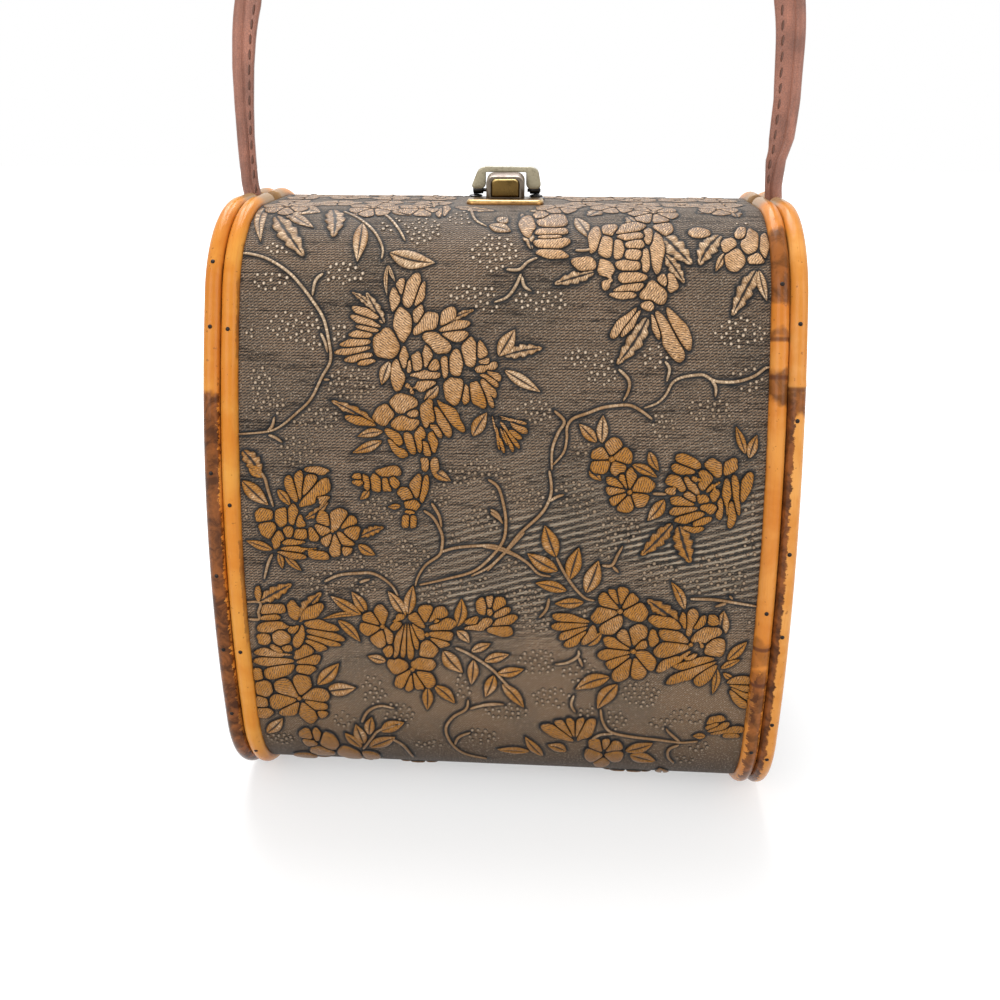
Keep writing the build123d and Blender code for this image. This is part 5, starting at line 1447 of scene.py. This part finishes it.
finishes = {
    "hinge_pin": metals["hinge brass"], "strap_rivets": metals["aged brass"],
    "bracket_screws": metals["dark metal"], "bail_pins": metals["dark metal"],
}
for half in ("front_", "back_"):
    finishes |= {
        half + "shell": caseBoard, half + "left_end": endLeather, half + "right_end": endLeather,
        half + "lining": liningCloth, half + "hinge_leaf": metals["hinge brass"],
        half + "hinge_rivets": metals["hinge brass"],
    }
for name, material in finishes.items():
    paint(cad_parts[name], material)
print("frame painted")


bail = {
    "x": -1.7, "y": 2.7, "top": 243.1, "foot": 234.6, "inner": 7.9, "leg": 6.1, "bar": 2.1, "thick": 2.8,
    "splay": {-1: 3.5, 1: 1.6},  # how far each outer edge leans in by its top
    "topCorner": 3.4, "footCorner": 2.1, "edge": 0.9,
    "pivots": (-12.6, 9.6), "pivotHeight": 234.1, "barrel": 1.45, "barrelLength": 4.0,
    "feet": (-13.6, 10.1), "footHeight": 231.9, "footSize": (2.7, 2.7, 0.74),
    "stem": 1.3, "stemLength": 2.0, "stemDrop": 0.9,
    "base": (29.6, 8.0, 1.3), "basePlace": (-1.4, 5.0, 230.45), "baseCorner": 2.4,
}


def makeBail():
    # loop of a bar and two splayed legs, over the two barrels it turns on
    middle, inner, top, foot, bar = (bail[key] for key in ("x", "inner", "top", "foot", "bar"))
    piece = cubePiece("bail_loop", (2 * inner, bail["thick"], bar), (middle, bail["y"], top - bar / 2))
    for side in (-1, 1):
        pullOut(piece, lambda place, normal: normal.x * side > 0.9
                and (place.x - middle) * side > inner - 0.1, (side * bail["leg"], 0, 0))
        pullOut(piece, lambda place, normal: normal.z < -0.9
                and (place.x - middle) * side > inner, (0, 0, -(top - bar - foot)))
        for height in (top, top - bar):
            lean = bail["splay"][side] * (height - foot) / (top - foot)
            shift(piece, lambda place, _: (place.x - middle) * side > inner + 1
                  and abs(place.z - height) < 0.1, (-side * lean, 0, 0))
    roundEdges(piece, lambda place, way: abs(way.y) > 0.9 and abs(place.x - middle) > inner + 1
               and place.z > top - 0.2, bail["topCorner"], 7)
    roundEdges(piece, lambda place, way: abs(way.y) > 0.9 and place.z < foot + 0.1, bail["footCorner"], 6)
    soften(piece, bail["edge"], 3, 60)
    return piece


def makeBarrels():
    # dark barrels at the foot of the loop
    parts = []
    for x in bail["pivots"]:
        deselectAll()
        bpy.ops.mesh.primitive_cylinder_add(
            vertices=28, radius=bail["barrel"] * mm, depth=bail["barrelLength"] * mm,
            location=(x * mm, bail["y"] * mm, bail["pivotHeight"] * mm), rotation=(0, math.pi / 2, 0))
        bpy.ops.object.transform_apply(location=True, rotation=True, scale=True)
        parts.append(bpy.context.object)
    return joined(parts, "bail_barrels", 0.35)


def makeBailBase():
    # thin plate on the back half that carries the loop on two lens-shaped feet
    base = cubePiece("bail_base", bail["base"], bail["basePlace"])
    roundEdges(base, lambda place, way: abs(way.z) > 0.9, bail["baseCorner"])
    parts = [base]
    for x in bail["feet"]:
        deselectAll()
        bpy.ops.mesh.primitive_cylinder_add(
            vertices=24, radius=bail["stem"] * mm, depth=bail["stemLength"] * mm,
            location=(x * mm, bail["y"] * mm, (bail["footHeight"] - bail["stemDrop"]) * mm))
        parts.append(bpy.context.object)
        deselectAll()
        bpy.ops.mesh.primitive_uv_sphere_add(segments=28, ring_count=12, radius=1,
                                             location=(x * mm, bail["y"] * mm, bail["footHeight"] * mm))
        foot = bpy.context.object
        foot.scale = tuple(v * mm for v in bail["footSize"])
        bpy.ops.object.transform_apply(location=True, rotation=False, scale=True)
        parts.append(foot)
    return joined(parts, "bail_base", 0.3)


clasp = {
    "x": -1.55, "front": -5.9, "depth": 5.5, "width": 14.7, "housingTop": 240.6,
    "shoulder": 2.9, "edge": 0.55,
    "slope": 0.65,  # the housing's top rises by twice this from front to back
    "wall": 1.1, "recess": 2.9, "recessMiddle": 236, "recessDrop": 0.65, "buttonGap": 0.3,
    "buttonWidth": 10.6, "buttonFoot": 232.25, "buttonTop": 239.1, "proud": 0.9, "travel": 1.1,
    "buttonShoulder": 1.9, "buttonEdge": 0.85,
    "plateX": -1.4, "plateWidth": 29.6, "plateTop": 231.9, "plateThickness": 3.2, "plateCorner": 3.2,
    "plateEdge": 1.4, "plateFront": -12.9, "plateBack": -1.0,
}


def makeHousing():
    # block with rounded shoulders, a sloping top and a recess for the button
    x, front, top, width = clasp["x"], clasp["front"], clasp["housingTop"], clasp["width"]
    tall = top - clasp["plateTop"] + 0.2
    middle = front + clasp["depth"] / 2
    piece = cubePiece("clasp_housing", (width, clasp["depth"], tall), (x, middle, top - tall / 2))
    roundEdges(piece, lambda place, way: abs(way.y) > 0.9 and place.z > top - 0.1, clasp["shoulder"], 6)
    for end in (-1, 1):
        shift(piece, lambda place, _: place.z > top - clasp["shoulder"] - 0.2
              and (place.y - middle) * end > 1, (0, 0, end * clasp["slope"]))
    pick(piece, "FACE", lambda place, normal: normal.y < -0.9)
    bpy.ops.mesh.inset(thickness=clasp["wall"] * mm, depth=0)
    narrow = (clasp["buttonWidth"] + clasp["buttonGap"]) / (width - 2 * clasp["wall"])
    centre = (x * mm, front * mm, clasp["recessMiddle"] * mm)
    bpy.ops.transform.resize(value=(narrow, 1, 1), center_override=centre)
    bpy.ops.mesh.extrude_region_move(TRANSFORM_OT_translate={"value": (0, clasp["recess"] * mm, 0)})
    objectMode()
    # the recess runs down to the plate
    shift(piece, lambda place, _: abs(place.x - x) < width / 2 - 0.6 and place.z < clasp["plateTop"] + 1.2
          and place.y < front + clasp["recess"] + 0.1, (0, 0, -clasp["recessDrop"]))
    soften(piece, clasp["edge"], 3, 40)
    return piece


def makeButton():
    foot, top, out = clasp["buttonFoot"], clasp["buttonTop"], clasp["front"] - clasp["proud"]
    deep = clasp["recess"] - clasp["travel"] + clasp["proud"]
    piece = cubePiece("clasp_press", (clasp["buttonWidth"], deep, top - foot),
                      (clasp["x"], out + deep / 2, (foot + top) / 2))
    roundEdges(piece, lambda place, way: abs(way.y) > 0.9 and place.z > top - 0.1, clasp["buttonShoulder"])
    soften(piece, clasp["buttonEdge"], 4)
    return piece


def makePlate():
    back, front, thick = clasp["plateBack"], clasp["plateFront"], clasp["plateThickness"]
    piece = cubePiece("clasp_foot_plate", (clasp["plateWidth"], back - front, thick),
                      (clasp["plateX"], (back + front) / 2, clasp["plateTop"] - thick / 2))
    roundEdges(piece, lambda place, way: abs(way.z) > 0.9, clasp["plateCorner"])
    soften(piece, clasp["plateEdge"], 5)
    return piece


for piece, body, slot, nodes, metal in (
        (makeBail(), "bail", "bail_brass", ("clasp_bail",), "brass with painted sky reflection"),
        (makeBarrels(), "bail", "bail_brass", (), "dark metal"),
        (makeBailBase(), "back_half", "clasp_brass", ("bail_bracket",), "dark metal"),
        (makeHousing(), "front_half", "clasp_brass", ("clasp_block",), "brass with painted grey reflection"),
        (makeButton(), "button", "clasp_button_brass", ("clasp_button",), "dark brass with painted highlight"),
        (makePlate(), "front_half", "clasp_brass", ("clasp_plate", "clasp_screws"), "plate brass")):
    paint(piece, metals[metal])
    settle(piece, body, nodes)
print("clasp made")


nails = {
    "size": (0.78, 0.78, 0.42),
    "heights": {"left_outer": (212.1, 191.3, 141.0, 102.7, 72.4, 43.2),
                "left_inner": (190.6, 129.6, 71.6, 23.8), "right_inner": (207.6, 94.8, 34.5),
                "right_outer": (195.2, 163.6, 117.3, 85.7, 47.8, 31.3)},
}


def makeNails():
    # one domed head, copied to its places along the canes
    climbing = caneLine.s > 60
    places = []
    for place, heights in nails["heights"].items():
        for height in heights:
            s = np.interp(height, caneLine.z[climbing], caneLine.s[climbing])
            y, z = caneLine.at(s, cane["radius"] * cane["girth"])
            ny, nz = caneLine.outward(s)
            places.append(((canePlaces[place], -y, z), ((1, 0, 0), (0, nz, ny), (0, -ny, nz))))
    return ballCopies("front_nail_heads", 14, 8, nails["size"], places)


headsFront = makeNails()
paint(headsFront, metals["nail steel"])
headsBack = mirrored(headsFront, "back_nail_heads")
settle(headsFront, "front_half", ("front_nails",))
settle(headsBack, "back_half", ("back_nails",))
print("nails set")


studio = {
    "worldStrength": 0.66,
    "floorGrey": 0.55, "floorLift": (0.46, 0.6), "floorFade": (0.16, 0.55),
    "lights": {
        "above": {"place": (-0.15, 0.55, 1.25), "aim": (0, 0, 0.15), "size": 0.9, "power": 17},
        "front": {"place": (-0.75, -1.25, 0.85), "aim": (0, 0, 0.13), "size": 1.1, "power": 12},
        "right": {"place": (1.1, -0.75, 0.7), "aim": (0, 0, 0.13), "size": 0.9, "power": 7},
    },
}
deselectAll()
bpy.ops.mesh.primitive_plane_add(size=6, location=(0, 0, 0))
floor = bpy.context.object
floor.name = "floor"
look = newMaterial("floor", 0.9, Base_Color=(*[studio["floorGrey"]] * 3, 1), Specular_IOR_Level=0.0,
                   Emission_Color=(1, 1, 1, 1))
# the floor is white to the camera, more so away from the bag, and keeps the shadow under it
apart = look.add("VectorMath", {"operation": "LENGTH"}, i0=look.body((1, 1, 1))).outputs["Value"]
path = look.add("LightPath").outputs
seen = look.calc("MAXIMUM", path["Is Camera Ray"], path["Is Glossy Ray"])
near, far = studio["floorLift"]
lift = look.plus(near, look.times(look.step(apart, *studio["floorFade"]), far))
paint(floor, look.finish(Emission_Strength=look.times(seen, lift)))
makeActive(floor)
bpy.ops.object.transform_apply(location=True, rotation=True, scale=True)

world = bpy.data.worlds.new("studio")
bpy.context.scene.world = world
look = Nodes(world, "Background")
path = look.add("LightPath").outputs
seen = look.calc("MAXIMUM", path["Is Camera Ray"], path["Is Glossy Ray"])
seen = look.calc("MAXIMUM", seen, path["Is Transmission Ray"])
strength = look.add("MapRange", Value=seen, To_Min=studio["worldStrength"], To_Max=1.0)
look.finish(Color=(1, 1, 1, 1), Strength=strength.outputs[0])

for name, values in studio["lights"].items():
    light = bpy.data.lights.new(name, "AREA")
    light.shape, light.size, light.energy = "SQUARE", values["size"], values["power"]
    lamp = addToScene(name, light)
    lamp.location = values["place"]
    aim = Vector(values["aim"]) - Vector(values["place"])
    lamp.rotation_euler = aim.to_track_quat("-Z", "Y").to_euler()

view = {
    "place": (0.021706, -0.398865, 0.274114), "yaw": -3.662, "down": 18.635, "roll": 0.059,
    "lens": 36, "film": 36, "shiftY": -0.08,
}
cameraData = bpy.data.cameras.new("camera")
cameraData.lens, cameraData.sensor_width = view["lens"], view["film"]
cameraData.shift_y = view["shiftY"]
cameraData.clip_start = 0.01
camera = addToScene("camera", cameraData)
yaw, down = math.radians(view["yaw"]), math.radians(view["down"])
forward = Vector((math.sin(yaw) * math.cos(down), math.cos(yaw) * math.cos(down), -math.sin(down)))
right = Vector((math.cos(yaw), -math.sin(yaw), 0))
turn = Matrix((right, right.cross(forward), -forward)).transposed().to_4x4()
roll = Matrix.Rotation(math.radians(view["roll"]), 4, "Z")
camera.matrix_world = Matrix.Translation(view["place"]) @ turn @ roll
bpy.context.scene.camera = camera
bpy.context.scene.view_settings.view_transform = "Standard"
print("studio set")
